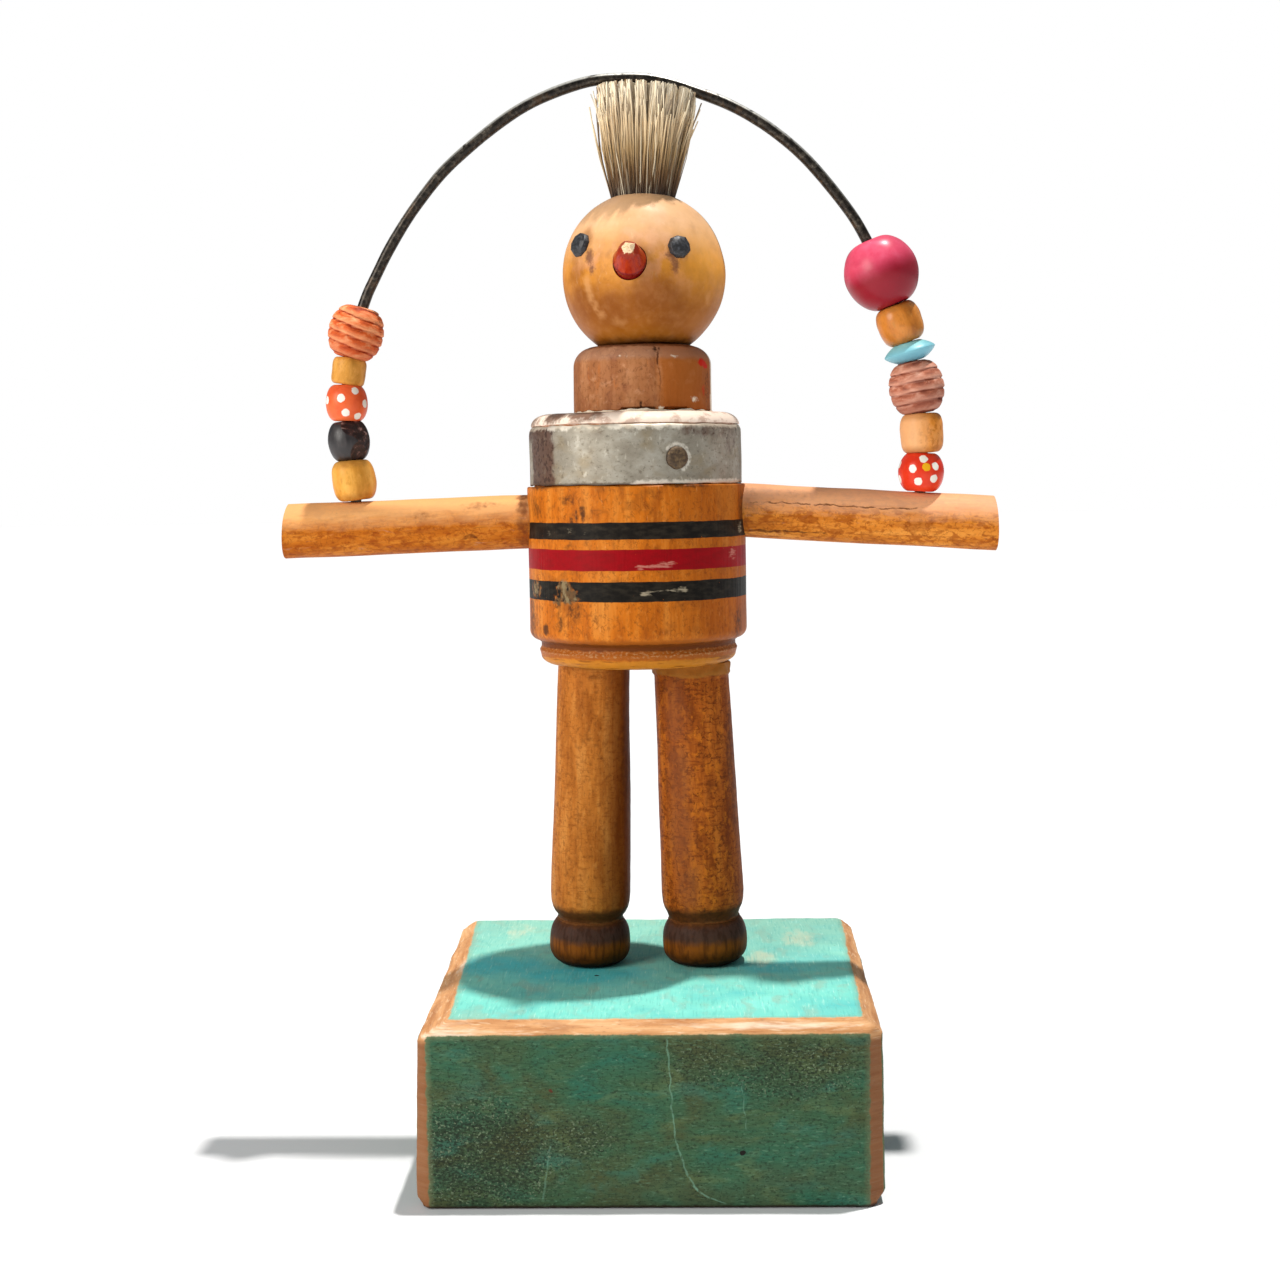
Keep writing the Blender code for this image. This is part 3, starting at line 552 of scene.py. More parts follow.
block = {
    "voxel": 0.85, "arris": 0.5, "swells": [(14, 0.3), (4, 0.12)], "grain": (0.9, 14, 0.05), "sunk": 0.15,
    # how far the paint runs over each kind of planed edge, left and right
    "lap": {"top": (0, 0), "upright": (-0.2, 0.4), "foot": (2, 2)},
    "bare": {
        "tones": ("#E0B182", "#CA9362", "#A66C3E"), "grain": (0.32, 12), "layered": True,
        "streaks": 0.6, "crumb": 0.15, "zones": [(-5, 43, "#7C4C2C", 2, 0.84)],
        "blotches": [
            ((9, 3), (0.54, 0.7), "#A8744E", 0.5, 4), ((5, 0.5), (0.56, 0.72), "#EED6B4", 0.5, 9),
            ((2, 0.3), (0.58, 0.72), "#85573A", 0.5, 12),
        ],
    },
    "top": [
        ("#8FAF9C", patches, (7, 13, 9), (0.5, 0.66), 0.55, 5, 6, 0.5),
        # a bluer turquoise where the figure's shadow falls on the top: a painted shadow colour
        ("#3FBCC4", ragged, third, 7, 1.3, 0.8, 0.6),
        ("#C3C9AC", both, (ragged, pale, (3, 8, 3), 1.3, 0.75, 0.35), (lookingUp, 0.55, 0.75)),
        ("#4FA79F", patches, (0.5, 7, 3), (0.5, 0.72), 0.45, 4, 12),
        ("#B9E6D6", patches, (0.5, 6, 3), (0.56, 0.76), 0.5, 4, 15),
        ("#5E8472", patches, (0.6, 1.1, 2), (0.66, 0.76), 0.55, 3, 18),
        ("#D8EEDF", patches, (0.7, 0.9, 2), (0.7, 0.78), 0.5, 2, 61),
    ],
    "side": [
        ("#39381E", ragged, dark, 6, 1.2, 0.5, 0.6),
        ("#2A644E", ragged, third, 8, 1.2, 0.5, 0.6),
        ("#2F7566", patches, (15, 8), (0.54, 0.7), 0.4, 5, 14, 0.5),
        ("#5F6E44", patches, (12, 6), (0.54, 0.7), 0.4, 5, 51, 0.5),
        ("#1F3524", patches, (1.9, 0.45), (0.46, 0.72), 0.55, 5, 8),
        ("#6A9272", patches, (1.7, 0.45), (0.54, 0.78), 0.5, 5, 17),
        ("#152417", patches, (0.9, 0.7), (0.52, 0.66), 0.5, 5, 33),
    ],
    "worn": [
        ("#7F9072", both, (patches, (0.7, 0.6), (0.58, 0.68), 0.6, 4, 57), (marked, dark, 0.1, 0.6)),
        ("#8FA98C", patches, (0.8, 0.6), (0.66, 0.78), 0.5, 3, 41),
    ],
    "scratches": [
        ([(5, 43.6), (5.6, 33.3), (6.2, 23.1), (8.3, 12.8), (12.7, 3.8)], 0.3, 0.34),
        ([(23.5, 33.2), (24, 27), (24.4, 20.4)], 0.26, 0.22), ([(-24.7, 16.8), (-26.7, 2.6)], 0.3, 0.24),
        ([(11, 6), (14, 3.5), (19, 1.5)], 0.6, 0.4),
    ],
    "holes": [
        ((-24.2, -53.4, 30.7), 0.45, "#57301E"), ((23.5, -53.4, 14.5), 0.65, "#140F0A"),
        ((-14.6, -11, 48.3), 0.6, "#22180F"),
    ],
    "spots": {
        dark: [
            ((-42, -53.5, 14), (27, 8, 21), 0.95), ((-18, -53.5, 18), (17, 8, 9), 0.6),
            ((36, -53.5, 36), (24, 8, 12), 0.7), ((13, -53.5, 37), (14, 8, 9), 0.55),
            ((0, 53.5, 20), (40, 8, 14), 0.5), ((58, 10, 14), (8, 24, 16), 0.6),
            ((-58, -14, 20), (8, 22, 14), 0.5),
        ],
        pale: [
            ((13.6, 14.3, 48.3), (8, 14, 3), 0.62), ((30.3, 5, 48.3), (7, 14, 3), 0.6),
            ((42, 28, 48.3), (7, 16, 3), 0.55), ((-40, 38, 48.3), (6, 14, 3), 0.5),
        ],
        # third marks teal patches on the sides, and on the top the area of the figure's shadow, for its
        # painted shadow colour
        third: [
            ((30, -51.5, 46.5), (30, 3, 1.2), 0.6), ((-35, -53, 45.6), (18, 2, 0.8), 0.35),
            ((-42, 0, 48.3), (18, 14, 3), 1), ((-20, -10, 48.3), (26, 14, 3), 0.9),
            ((34, -4, 48.3), (18, 9, 3), 0.7), ((40, -53.5, 10), (30, 8, 14), 0.8),
            ((-50, -53.5, 42), (14, 8, 8), 0.7), ((10, -53.5, 4), (24, 8, 7), 0.6),
        ],
    },
}


def blockMaterial():
    # planed beech left bare at the edges, under a thin brushed coat of oil paint that has aged: one paint in
    # a lit copy, turquoise on the top, and a shaded copy, dark green, dirty and scratched down the sides:
    # painted light and shade
    material, tree = newMaterial("brushedOilPaintOnBeech", {"Specular IOR Level": 0.2})
    bare, streak = grainedWood(tree, block["bare"])
    lime = (ragged, third, (5, 0.5), 1.3, 0.6, 0.4)
    bare = layered(tree, bare, [("#F4E6D0", both, lime, (heightBand, 44, 52))])
    upper = lookingUp(tree, 0.55, 0.75)
    backward = addNode(tree, "MapRange", {1: -30, 2: 55, 3: 0, 4: 0.75}, {0: read(tree, "axes", "Y")})
    stops = [(0.3, "#5FBDB8"), (0.5, "#76CCBD"), (0.7, "#80D6C8")]
    top = addNode(tree, "ValToRGB", {"stops": stops}, {0: pattern(tree, (22, 16, 22), 3, 2, 0.5)})
    top = layered(tree, top, [("#93BCA6", backward)] + block["top"])
    stops = [(0.32, "#29624D"), (0.45, "#385D40"), (0.57, "#435132"), (0.72, "#4B4726")]
    side = addNode(tree, "ValToRGB", {"stops": stops}, {0: pattern(tree, (30, 14), 5, 1, 0.6)})
    dirt = addNode(tree, "MapRange", {1: 0, 2: 0.9, 3: 0.66, 4: 0.5}, {0: read(tree, "marks", dark)})
    fine = pattern(tree, (0.8, 0.6), 5, 31)
    speck = addNode(tree, "Math", {"operation": "SUBTRACT"}, {0: fine, 1: dirt})
    speck = addNode(tree, "MapRange", {1: -0.06, 2: 0.06, 3: 0, 4: 0.75}, {0: speck})
    scratches = [("#7FAE94", both, (scratch, *found), upper, "SUBTRACT") for found in block["scratches"]]
    side = layered(tree, side, block["side"] + [("#161D12", speck)] + block["worn"] + scratches)
    # painted light and shade: the lit turquoise on the faces that look up, the shaded dark green on the
    # others
    paint = addNode(tree, "Mix", {"data_type": "RGBA"}, {0: upper, 6: side, 7: top}).outputs[2]
    inside = addNode(tree, "Attribute", {"attribute_name": "inside"}).outputs["Fac"]
    for strength, nibble in ((0.9, pattern(tree, (7, 2.5), 5, 25)), (0.4, pattern(tree, 0.8, 3, 28))):
        settings = {"operation": "MULTIPLY_ADD", 1: strength}
        inside = addNode(tree, "Math", settings, {0: nibble, 2: inside})
    covered = addNode(tree, "MapRange", {1: 0.55, 2: 0.8}, {0: inside})
    thin = addNode(tree, "MapRange", {1: 0.6, 2: 1.7, 3: 0.4, 4: 0}, {0: inside})
    paint = layered(tree, paint, [("#8A8860", thin)])
    colour = addNode(tree, "Mix", {"data_type": "RGBA"}, {0: covered, 6: bare, 7: paint}).outputs[2]
    wander = pattern(tree, 0.9, 3, 2)
    layers = [(ink, dot, place, radius, wander) for place, radius, ink in block["holes"]]
    colour = layered(tree, colour, layers + [("#2E1B0F", heightBand, -2, 0.9, 0.25, 0.7, 0.85)])
    return surfaceOf(material, colour, (0.75, 0.55), streak, 0.1)


def makeBlock():
    shape = bmesh.new()
    shape.from_mesh(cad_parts["base_block"].data)
    bmesh.ops.scale(shape, vec=(1 / mm,) * 3, verts=shape.verts)
    bmesh.ops.remove_doubles(shape, verts=shape.verts, dist=weld)
    bmesh.ops.dissolve_limit(shape, angle_limit=math.radians(0.5), verts=shape.verts, edges=shape.edges)
    shape.normal_update()
    faces = {"painted": [], "planed": []}
    for face in shape.faces:
        main = max(abs(n) for n in face.normal) > 0.985 and face.normal.z > -0.5
        kind = "top" if face.normal.z > 0.3 else "foot" if face.normal.z < -0.3 else "upright"
        centre = np.array(face.calc_center_median())
        lap = 0 if main else block["lap"][kind][int(centre[0] > 0)]
        faces["painted" if main else "planed"].append((centre, np.array(face.normal), lap))
    eased(shape, shape.edges[:], block["arris"])
    work = linked("work", meshOf(shape))
    remesh = work.modifiers.new("Remesh", "REMESH")
    remesh.mode, remesh.voxel_size = "VOXEL", block["voxel"]
    shape.clear()
    shape.from_mesh(settled(work))
    across, length, depth = block["grain"]
    shape.normal_update()
    for vert in shape.verts:
        x, y, z = vert.co
        amount = sum(d * lumps(x, y, z, size) for size, d in block["swells"])
        amount += depth * lumps(x / length, y / across, z / across)
        if z > 1:  # the underside stays flat
            vert.co += vert.normal * (amount - block["sunk"])

    def storeInside(mesh, places, marks):
        # how far each point lies inside the painted faces, and below nought how far outside
        near = {
            kind: np.min([np.abs((centre - places) @ normal) + lap for centre, normal, lap in found], axis=0)
            for kind, found in faces.items()
        }
        inside = (near["planed"] - near["painted"]).astype(np.float32)
        mesh.attributes.new("inside", "FLOAT", "POINT").data.foreach_set("value", inside)

    addPiece(
        shape, "base_block", Matrix(), [blockMaterial()], block["spots"], extra=storeInside,
        crease=60,
    )


makeBlock()


# The legs: two spindle ends, splayed a little and sawn level at the block and under the body

legLook = {
    "tones": ("#D08A42", "#BA6F2A", "#8E4A14"), "grain": (0.6, 8), "streaks": 0.5,
    "spread": (0.24, 0.78), "rough": (0.42, 0.56), "gloss": 0.05, "wobble": 0.5, "curls": (2.6, 0.022, 0.35),
    "ink": "#54260A", "crumb": 0.45, "drips": (-2, 12, (1, 7), "#2A1408", 0.5),
    "zones": [
        (-3, 12.4, "#7E4410", 0.8, 0.92), (7.4, 12.2, "#42302B", 2.6, 0.92), (12, 16.4, "#38200F", 2.2, 0.9),
        (12.3, 12.9, "#7A4A26", 0.5, 0.6), (-3, 4.2, "#3A1C06", 3.4, 0.8), (-3, 1.7, "#100602", 1.4, 0.95),
    ],
    "stain": ("#4A2410", 1.5, 0.7, 0.4), "worn": ("#7C4528", 1.6, 0.7, 0.6),
    "residue": ("#9E6426", 1.6, 0.85, 0.3),
}
legs = {
    "left_leg": {
        "footX": -17.3, "topX": -14.7, "foot": 11.2, "waist": 9.1, "calf": 11.15, "top": 9.8, "seed": 1,
        "collar": 0.15, "collarLow": 83,
        "look": {
            # the side tint is painted shade down the leg's right side
            "ripple": (0.6, 0.6, (0.5, 0.7)), "side": ("#5E2604", 2, 9.5, 0.85),
            "blotches": [
                ((4, 10), (0.55, 0.7), "#98541A", 0.5, 3), ((0.5, 2.5), (0.64, 0.74), "#5E2E10", 0.5, 7),
                ((1.8, 0.4), (0.66, 0.76), "#4A2410", 0.5, 31),
            ],
        },
        "spots": {dark: [
            # the long mark at 60 degrees is painted shade down the leg's right side
            ((60, 60), (3, 9, 30), 0.6), ((5, 81), (4.5, 3, 0.9), 0.8), ((-20, 73), (2, 3, 2), 0.5),
            ((-5, 64), (2.5, 3, 1), 0.5),
        ]},
    },
    "right_leg": {
        "footX": 15.3, "topX": 12, "foot": 11.8, "waist": 9.8, "calf": 11.4, "top": 10.1, "seed": 6,
        "collar": 0.55, "collarLow": 80.8,
        "look": {
            "tones": ("#C27028", "#A6561A", "#6E300C"), "crumb": 0.3, "ripple": (0.75, 0.7, (0.5, 0.64)),
            # the side tint is painted shade down the leg's right side
            "side": ("#7A340C", 6.5, 11.5, 0.5), "curls": (2.6, 0.04, 0.75),
            "blotches": [
                ((2, 3), (0.52, 0.66), "#C8701E", 0.6, 3), ((4, 7), (0.55, 0.68), "#6A3210", 0.5, 13),
                ((1, 1.8), (0.62, 0.72), "#4A220C", 0.5, 17),
            ],
        },
        "spots": {
            dark: [
                # the long mark at 62 degrees is painted shade down the leg's right side
                ((62, 55), (3, 9, 30), 0.55), ((10, 81.5), (2, 3, 0.7), 0.9),
                ((28, 80.5), (1.5, 3, 0.7), 0.8),
            ],
            pale: [
                ((-30, 72), (6, 17), 0.8), ((-30, 54), (6, 17), 0.8), ((-30, 38), (6, 17), 0.8),
                ((-22, 24), (5, 12), 0.7),
            ],
        },
    },
}
legForm = {
    "footHeight": 12.3, "bulge": 5.2, "fullness": (3, 2.5), "reach": (9.4, 6.5), "waistHeight": 13.5,
    "ease": [(0, 6.5), (0.2, 3.9), (0.6, 2.3), (1.2, 1.1)],  # inset and height over the waist
    "neck": [(0.1, 1.4), (0, 1), (-0.1, 0.35), (0.2, 0.15)],  # over the waist's radius, and over the foot
    "soleInset": 0.2, "steps": 112, "blockTop": 48.3, "bodyBottom": 132.6, "gap": 0.3, "spare": 2,
    "swells": [(9, 22, 0.22), (3, 2, 0.05)],
}


def glueEdge(leg, x, y):
    # the height where the glue that was squeezed out under the body ends
    return leg["collarLow"] + lumps(x, y, leg["seed"], 8)


def makeLeg(name, leg):
    foot = Vector((leg["footX"], figureY, legForm["blockTop"]))
    top = Vector((leg["topX"], figureY, legForm["bodyBottom"]))
    length, spare = (top - foot).length, legForm["spare"]
    bulge, high = legForm["bulge"], legForm["footHeight"]
    ball = []  # the foot is a flattened ball, fuller than an ellipse
    for z in [high - (high + 1.2) * i / 22 for i in range(23)]:
        part = 0 if z > bulge else 1
        full, share = legForm["fullness"][part], abs(z - bulge) / legForm["reach"][part]
        ball.append((leg["foot"] * (1 - share ** full) ** (1 / full), z))
    profile = [(0, length + spare), (leg["top"], length + spare)]
    profile += [(leg["calf"] - inset, legForm["waistHeight"] + above) for inset, above in legForm["ease"]]
    profile += [(leg["waist"] + out, high + above) for out, above in legForm["neck"]]
    profile += ball + [(ball[-1][0] - legForm["soleInset"], -spare), (0, -spare)]
    shape = turned(profile, legForm["steps"], 0.8)
    roughened(shape, legForm["swells"], leg["seed"])
    for vert in shape.verts:
        x, y, z = vert.co
        low = glueEdge(leg, x, y)
        if z > low and math.hypot(x, y) > 5:
            pushOut(vert, leg["collar"] * min(1, 2.5 * (z - low)) * (1 + 0.8 * lumps(x, y, z, 2)))
    place = along(foot, top - foot)
    inverse = place.inverted()
    gap = legForm["gap"]
    for height, way in ((legForm["blockTop"] + gap, -1), (legForm["bodyBottom"] - gap, 1)):
        sliced(shape, inverse @ Vector((0, figureY, height)), inverse.to_3x3() @ Vector((0, 0, way)))

    def markCollar(mesh, places, marks):
        for vert, mark in zip(mesh.vertices, marks):
            x, y, z = vert.co
            mark[third] = min(max((z - glueEdge(leg, x, y)) / 0.8 + 0.3, 0), 1)

    # turned maple, stained honey and varnished, its feet darker towards the sole and nearly black where they
    # meet the block, with painted shade down each leg's right side: satin, with ripples across the grain
    wood = woodMaterial("stainedMaple_" + name, {**legLook, **leg["look"]})
    addPiece(shape, name, place, [wood], leg["spots"], leg["calf"], extra=markCollar)


for legName, leg in legs.items():
    makeLeg(legName, leg)


# The body: a mallet head on end, with three painted rings, and sockets for the arms

torso = {
    "x": -2.3, "bottom": 132.6, "top": 200.2, "radius": 29.8, "bottomRadius": 22.5, "topRadius": 23.6,
    "crownRadius": 28.3, "skirtRadius": 27.1, "grooveRadius": 26.6, "skirtTop": 139.4, "groove": (0.8, 2),
    "bead": (2.9, 4.4), "beadEase": 0.4, "edge": 2.6, "steps": 300, "swells": [(18, 26, 0.25), (4, 9, 0.06)],
    # each ring's heights, its paint, the paint where it has faded, and where it is scuffed
    "stripes": [
        (150.8, 156, "#14100C", "#2E2820", "#A4967E"), (158.9, 164.4, "#94000C", "#80040A", "#C07A6A"),
        (167, 171.4, "#16110D", "#322B22", "#A4967E"),
    ],
    "look": {
        "tones": ("#DC8C38", "#C86C14", "#9C4A06"), "grain": (0.9, 16), "streaks": 0.45,
        # the side tint is painted shade down the body's right side
        "spread": (0.26, 0.76), "wobble": 0.3, "side": ("#8C3E06", 4, 28, 0.5), "curls": (3.2, 0.02, 0.5),
        "ink": "#6B3208", "crumb": 0.5, "stain": ("#40230F", 1.1, 0.85, 0.3),
        "blotches": [
            ((4, 9), (0.54, 0.7), "#92460A", 0.55, 2), ((7, 5), (0.54, 0.68), "#8A4A14", 0.4, 35),
            ((0.8, 1.6), (0.66, 0.75), "#6B3410", 0.6, 5), ((2.5, 0.5), (0.64, 0.74), "#8A4A1C", 0.45, 8),
            ((0.7, 4), (0.64, 0.76), "#EDB070", 0.35, 12), ((0.35, 5), (0.66, 0.72), "#5A2A0C", 0.5, 27),
        ],
        "zones": [
            (196.9, 202, "#F6E2D0", 0.8, 0.95), (135.2, 140.6, "#9A5014", 1.2, 0.9),
            # the last zone lightens the underside as painted bounce light
            (137.6, 139.5, "#57290B", 0.6, 0.8), (130, 135.1, "#BE7820", 0.6, 0.8),
        ],
    },
    "foot": [
        (
            "#B98A5C", both,
            (patches, (0.7, 0.5), (0.46, 0.66), 0.7, 4, 3), (heightBand, 135.9, 137.6, 0.4, 0.8),
        ),
        ("#7C400C", both, (patches, (7, 0.7), (0.5, 0.62), 0.75, 4, 9), (heightBand, 131.5, 135.2)),
    ],
    "crown": [
        ("#B8937F", patches, (5, 3), (0.5, 0.64), 0.7, 5, 3),
        ("#FBEBDC", patches, 1.6, (0.58, 0.7), 0.7, 4, 15), ("#80604E", ragged, dark, 1.5, 1.2, 0.9, 0.3),
    ],
    "spots": {
        dark: [
            ((-53.8, 142.9), (2, 2.2), 1), ((-31.8, 148.2), (4.5, 5), 0.5), ((-35.5, 177.4), (4, 2.6), 0.55),
            ((-26, 174), (0.9, 3.6), 0.75), ((-62, 175), (5, 5), 0.45), ((66, 144), (3, 5, 8), 0.5),
            ((-72, 146), (4, 5, 13), 0.6), ((-42, 145.5), (1.6, 2, 6), 0.5), ((-44, 149.8), (3, 1.5), 0.5),
            ((-20, 147), (6, 3, 0.9), 0.4), ((73, 174), (4, 5, 8), 0.6), ((30, 180.6), (14, 8, 1), 0.6),
            ((-60, 180.4), (10, 1), 0.6), ((-34, 165.6), (3, 1), 0.5), ((-30, 173.2), (0.9, 2, 2.4), 0.7),
            ((-33, 171.9), (0.9, 2, 1.8), 0.7), ((-27.5, 174.6), (0.8, 2, 1.8), 0.7),
            (around(24, -28, 199), (8, 3), 0.85), (around(26, -75, 198), (9, 3), 0.5),
            (around(26, -50, 199), (7, 3), 0.7),
        ],
        pale: [
            ((-64, 153.6), (4.6, 4.5, 2.9), 0.72), ((-39, 154.6), (3.2, 3.5, 2.2), 0.8),
            ((-36, 152.2), (4.4, 4.5, 2.6), 0.85), ((-43.5, 151), (3, 1.6), 0.6),
        ],
        third: [
            ((6, 153), (2.8, 2, 1), 0.75), ((25, 153.8), (2.4, 2, 1.2), 0.8),
            ((60, 162.5), (3, 3.5, 2.6), 0.5), ((-50, 168.7), (2, 2.4, 1.2), 0.4),
            ((-34, 169.3), (1.5, 2, 1.2), 0.42), ((-25, 168.8), (2, 0.9), 0.4),
            ((70, 169), (2.4, 3, 2.4), 0.55),
            *(((turn, 153 + 0.02 * turn), (2.4, 2, 0.6), 0.75) for turn in range(8, 26, 3)),
            *(((turn, 159.5 + 0.05 * turn), (2.6, 2, 1), 0.7) for turn in range(4, 20, 3)),
        ],
    },
}
nail = {"azimuth": 23.4, "height": 187.9, "head": 3, "dome": 1.4, "shank": 1.1, "length": 9, "sunk": 0.25}
# the places where the band is bright round the nail
turns = [math.radians(turn) for turn in range(-60, 150, 15)]
scraped = [(nail["azimuth"] + 7 * math.cos(a), nail["height"] + 3.5 * math.sin(a)) for a in turns]
band = {
    "bottom": 181.2, "top": 196.8, "radius": 28.9, "wall": 0.8, "crimp": 0.5, "crimpHeight": 2, "gap": 0.3,
    "steps": 300, "waver": 0.3, "dent": 0.14,
    "stops": [(0.26, "#83796A"), (0.5, "#9B9384"), (0.76, "#B4ADA0")],
    "layers": [
        ("#8F7C5C", patches, (9, 6), (0.5, 0.7), 0.6, 5, 16),
        ("#685A48", patches, (1.4, 1), (0.54, 0.72), 0.6, 5, 9),
        ("#D4CCBC", patches, (1.5, 2.2), (0.58, 0.74), 0.5, 5, 23),
        ("#5C5346", patches, 0.6, (0.62, 0.72), 0.6, 3, 29),
        ("#5C3E32", ragged, dark, (2, 3), 1.3, 0.9, 0.4),
        ("#3E2A22", both, (ragged, dark, 0.9, 1.6, 0.8, 0.3), (patches, 1.2, (0.52, 0.6))),
        # a pale band along the crimped top rim, partly a painted highlight where the rim faces the light
        ("#D9C8B2", heightBand, 195.9, 198, 0.7, 0.8, 0.7, 1.5),
        ("#4A382A", heightBand, 180, 181.7, 0.3, 0.4, 0.6, 1.5),
        ("#E4DACA", ragged, pale, 1, 1.3, 0.85, 0.3),
    ],
    "spots": {
        dark: [
            *(((turn, z), (3.6, 4.5), 0.95) for turn in (-67, -62, -57, -51) for z in (183, 187, 191, 195.5)),
            *(((turn, 195), (5, 3), 0.5) for turn in (32, 44, 56, 68)),
            ((-84, 186), (4, 7), 0.5), ((-76, 195), (6, 8, 3), 0.9), ((64, 192), (6, 4), 0.4),
            ((40, 194.6), (5, 1.6), 0.5),
        ],
        pale: [
            *(((turn, 196.3), (3, 1.6), 0.8) for turn in (-48, -38, -8, 4, 14, 24)),
            *(((turn, 181.6), (3.8, 0.9), 0.9) for turn in range(4, 72, 6)),
            *((place, 0.9, 0.8) for place in scraped),
        ],
    },
}
arms = {
    "left_arm": {
        "side": -1, "soiled": 0.7, "rootZ": 171.4, "end": (-99.4, 169.65), "root": 7.3, "tip": 7.5, "seed": 2,
        "look": {
            # the side tint makes the top pale: partly bleached wood, partly painted light from above
            "side": ("#F4B678", -0.6, 4, 0.74),
            "cracks": [([(-4.4, 13), (-3.2, 15), (-3.9, 17)], 0.7, 0.6)],
        },
    },
    "right_arm": {
        "side": 1, "soiled": 0.25, "rootZ": 173.6, "end": (96.1, 169.05), "root": 7.35, "tip": 7.35,
        "seed": 8,
        "look": {
            # lighter tones than the left arm as painted light, and a pale top from the side tint, partly
            # bleached wood and partly painted light
            "tones": ("#F0A048", "#DA822A", "#AC5812"), "side": ("#F6B68A", 0.6, -3.4, 0.74),
            "cracks": [
                ([(-2.4, 1), (-2.7, 20), (-2.5, 34), (-2.9, 46)], 0.26, 0.75),
                ([(5.2, 1), (4.9, 22)], 0.34, 0.75),
            ],
        },
    },
}
armForm = {
    "socket": 9, "gap": 0.35, "steps": 72, "slant": 6, "ease": 0.8, "swells": [(6, 20, 0.22), (2.2, 7, 0.06)],
}


def armPlace(arm):
    root = Vector((torso["x"] + arm["side"] * torso["radius"], figureY, arm["rootZ"]))
    end = Vector((arm["end"][0], figureY, arm["end"][1]))
    return along(root, end - root), (end - root).length


def torsoMaterial():
    # a varnished beech mallet head, turned and then ringed with enamel: satin honey wood, glossier rings,
    # bruises and chips where it was struck, and raw wood showing through the worn rings, with painted shade
    # down its right side and painted bounce light on its underside
    material, tree = newMaterial("varnishedBeechWithEnamelRings", {"Specular IOR Level": 0.1})
    colour, streak = grainedWood(tree, torso["look"])
    colour = layered(tree, colour, torso["foot"])
    bareCrown = heightBand(tree, 196.9, 202, 0.3, 0.6)  # stained where glue and dirt have run
    colour = layered(tree, colour, [(tint, both, tuple(mask), bareCrown) for tint, *mask in torso["crown"]])
    near = marked(tree, pale, 0.05, 0.3)
    flaked = both(tree, near, (ragged, pale, (1, 1.3), 2.6, 0.95, 0.3, 0.45))
    gone = both(tree, (patches, 0.9, (0.74, 0.78), 0.8, 2, 44), flaked, "MAXIMUM")
    grimy = both(tree, near, (ragged, pale, (0.9, 1.6), 1.2, 0.9, 0.3, 0.3))
    crumbs = (patches, (1.6, 2.2), (0.46, 0.6), 0.9, 4, 63)
    colour = layered(tree, colour, [("#54452F", grimy), ("#8E7C5A", both, grimy, crumbs)])
    for low, high, paint, faded, scuffed in torso["stripes"]:
        ring = both(tree, (heightBand, low, high, 0.12, 0.18, 1, 5), gone, "SUBTRACT")
        stops = [(0.42, paint), (0.78, faded)]
        coat = addNode(tree, "ValToRGB", {"stops": stops}, {0: pattern(tree, (3, 1.2), 4, 3.5)})
        coat = layered(tree, coat, [(scuffed, ragged, third, (1.8, 0.4), 1.2, 0.85, 0.2)])
        colour = addNode(tree, "Mix", {"data_type": "RGBA"}, {0: ring, 6: colour, 7: coat}).outputs[2]
    return surfaceOf(material, colour, (0.4, 0.52), streak, 0.1)


def makeTorso():
    top, low, edge, radius = torso["top"], torso["bottom"], torso["edge"], torso["radius"]
    crownLow, bandLow = band["top"] + band["gap"], band["bottom"] - band["gap"]
    recess = band["radius"] - band["wall"] - band["gap"]
    beadTop, beadLow = (torso["skirtTop"] - drop for drop in torso["bead"])
    underSize = (torso["skirtRadius"] - torso["beadEase"] - torso["bottomRadius"], beadLow - low)
    crownSize = (torso["crownRadius"] - torso["topRadius"], top - crownLow)
    profile = [(0, top)] + arc((torso["topRadius"], crownLow), crownSize, 90, 0, 12)
    profile += [(recess, crownLow), (recess, bandLow), (radius - 0.3, bandLow), (radius, bandLow - 0.3)]
    profile += arc((radius - edge, torso["skirtTop"] + edge), (edge, edge), 0, -80, 8)
    profile += [(torso["grooveRadius"], torso["skirtTop"] - drop) for drop in torso["groove"]]
    profile += [(torso["skirtRadius"], beadTop)] + arc((torso["bottomRadius"], beadLow), underSize, 0, -90, 8)
    shape = turned(profile + [(0, low)], torso["steps"], 0.9)
    roughened(shape, torso["swells"], 4)
    drills = []
    for arm in arms.values():
        drill = drillBit(arm["root"] + armForm["gap"], 12, -armForm["socket"] - 0.4, 64)
        drill.transform(upright(torso["x"]).inverted() @ armPlace(arm)[0])
        drills.append(drill)
    bored(shape, drills)
    addPiece(shape, "torso", upright(torso["x"]), [torsoMaterial()], torso["spots"], radius)


makeTorso()


# The ferrule round the body, crimped in along its upper edge, and the nail through it

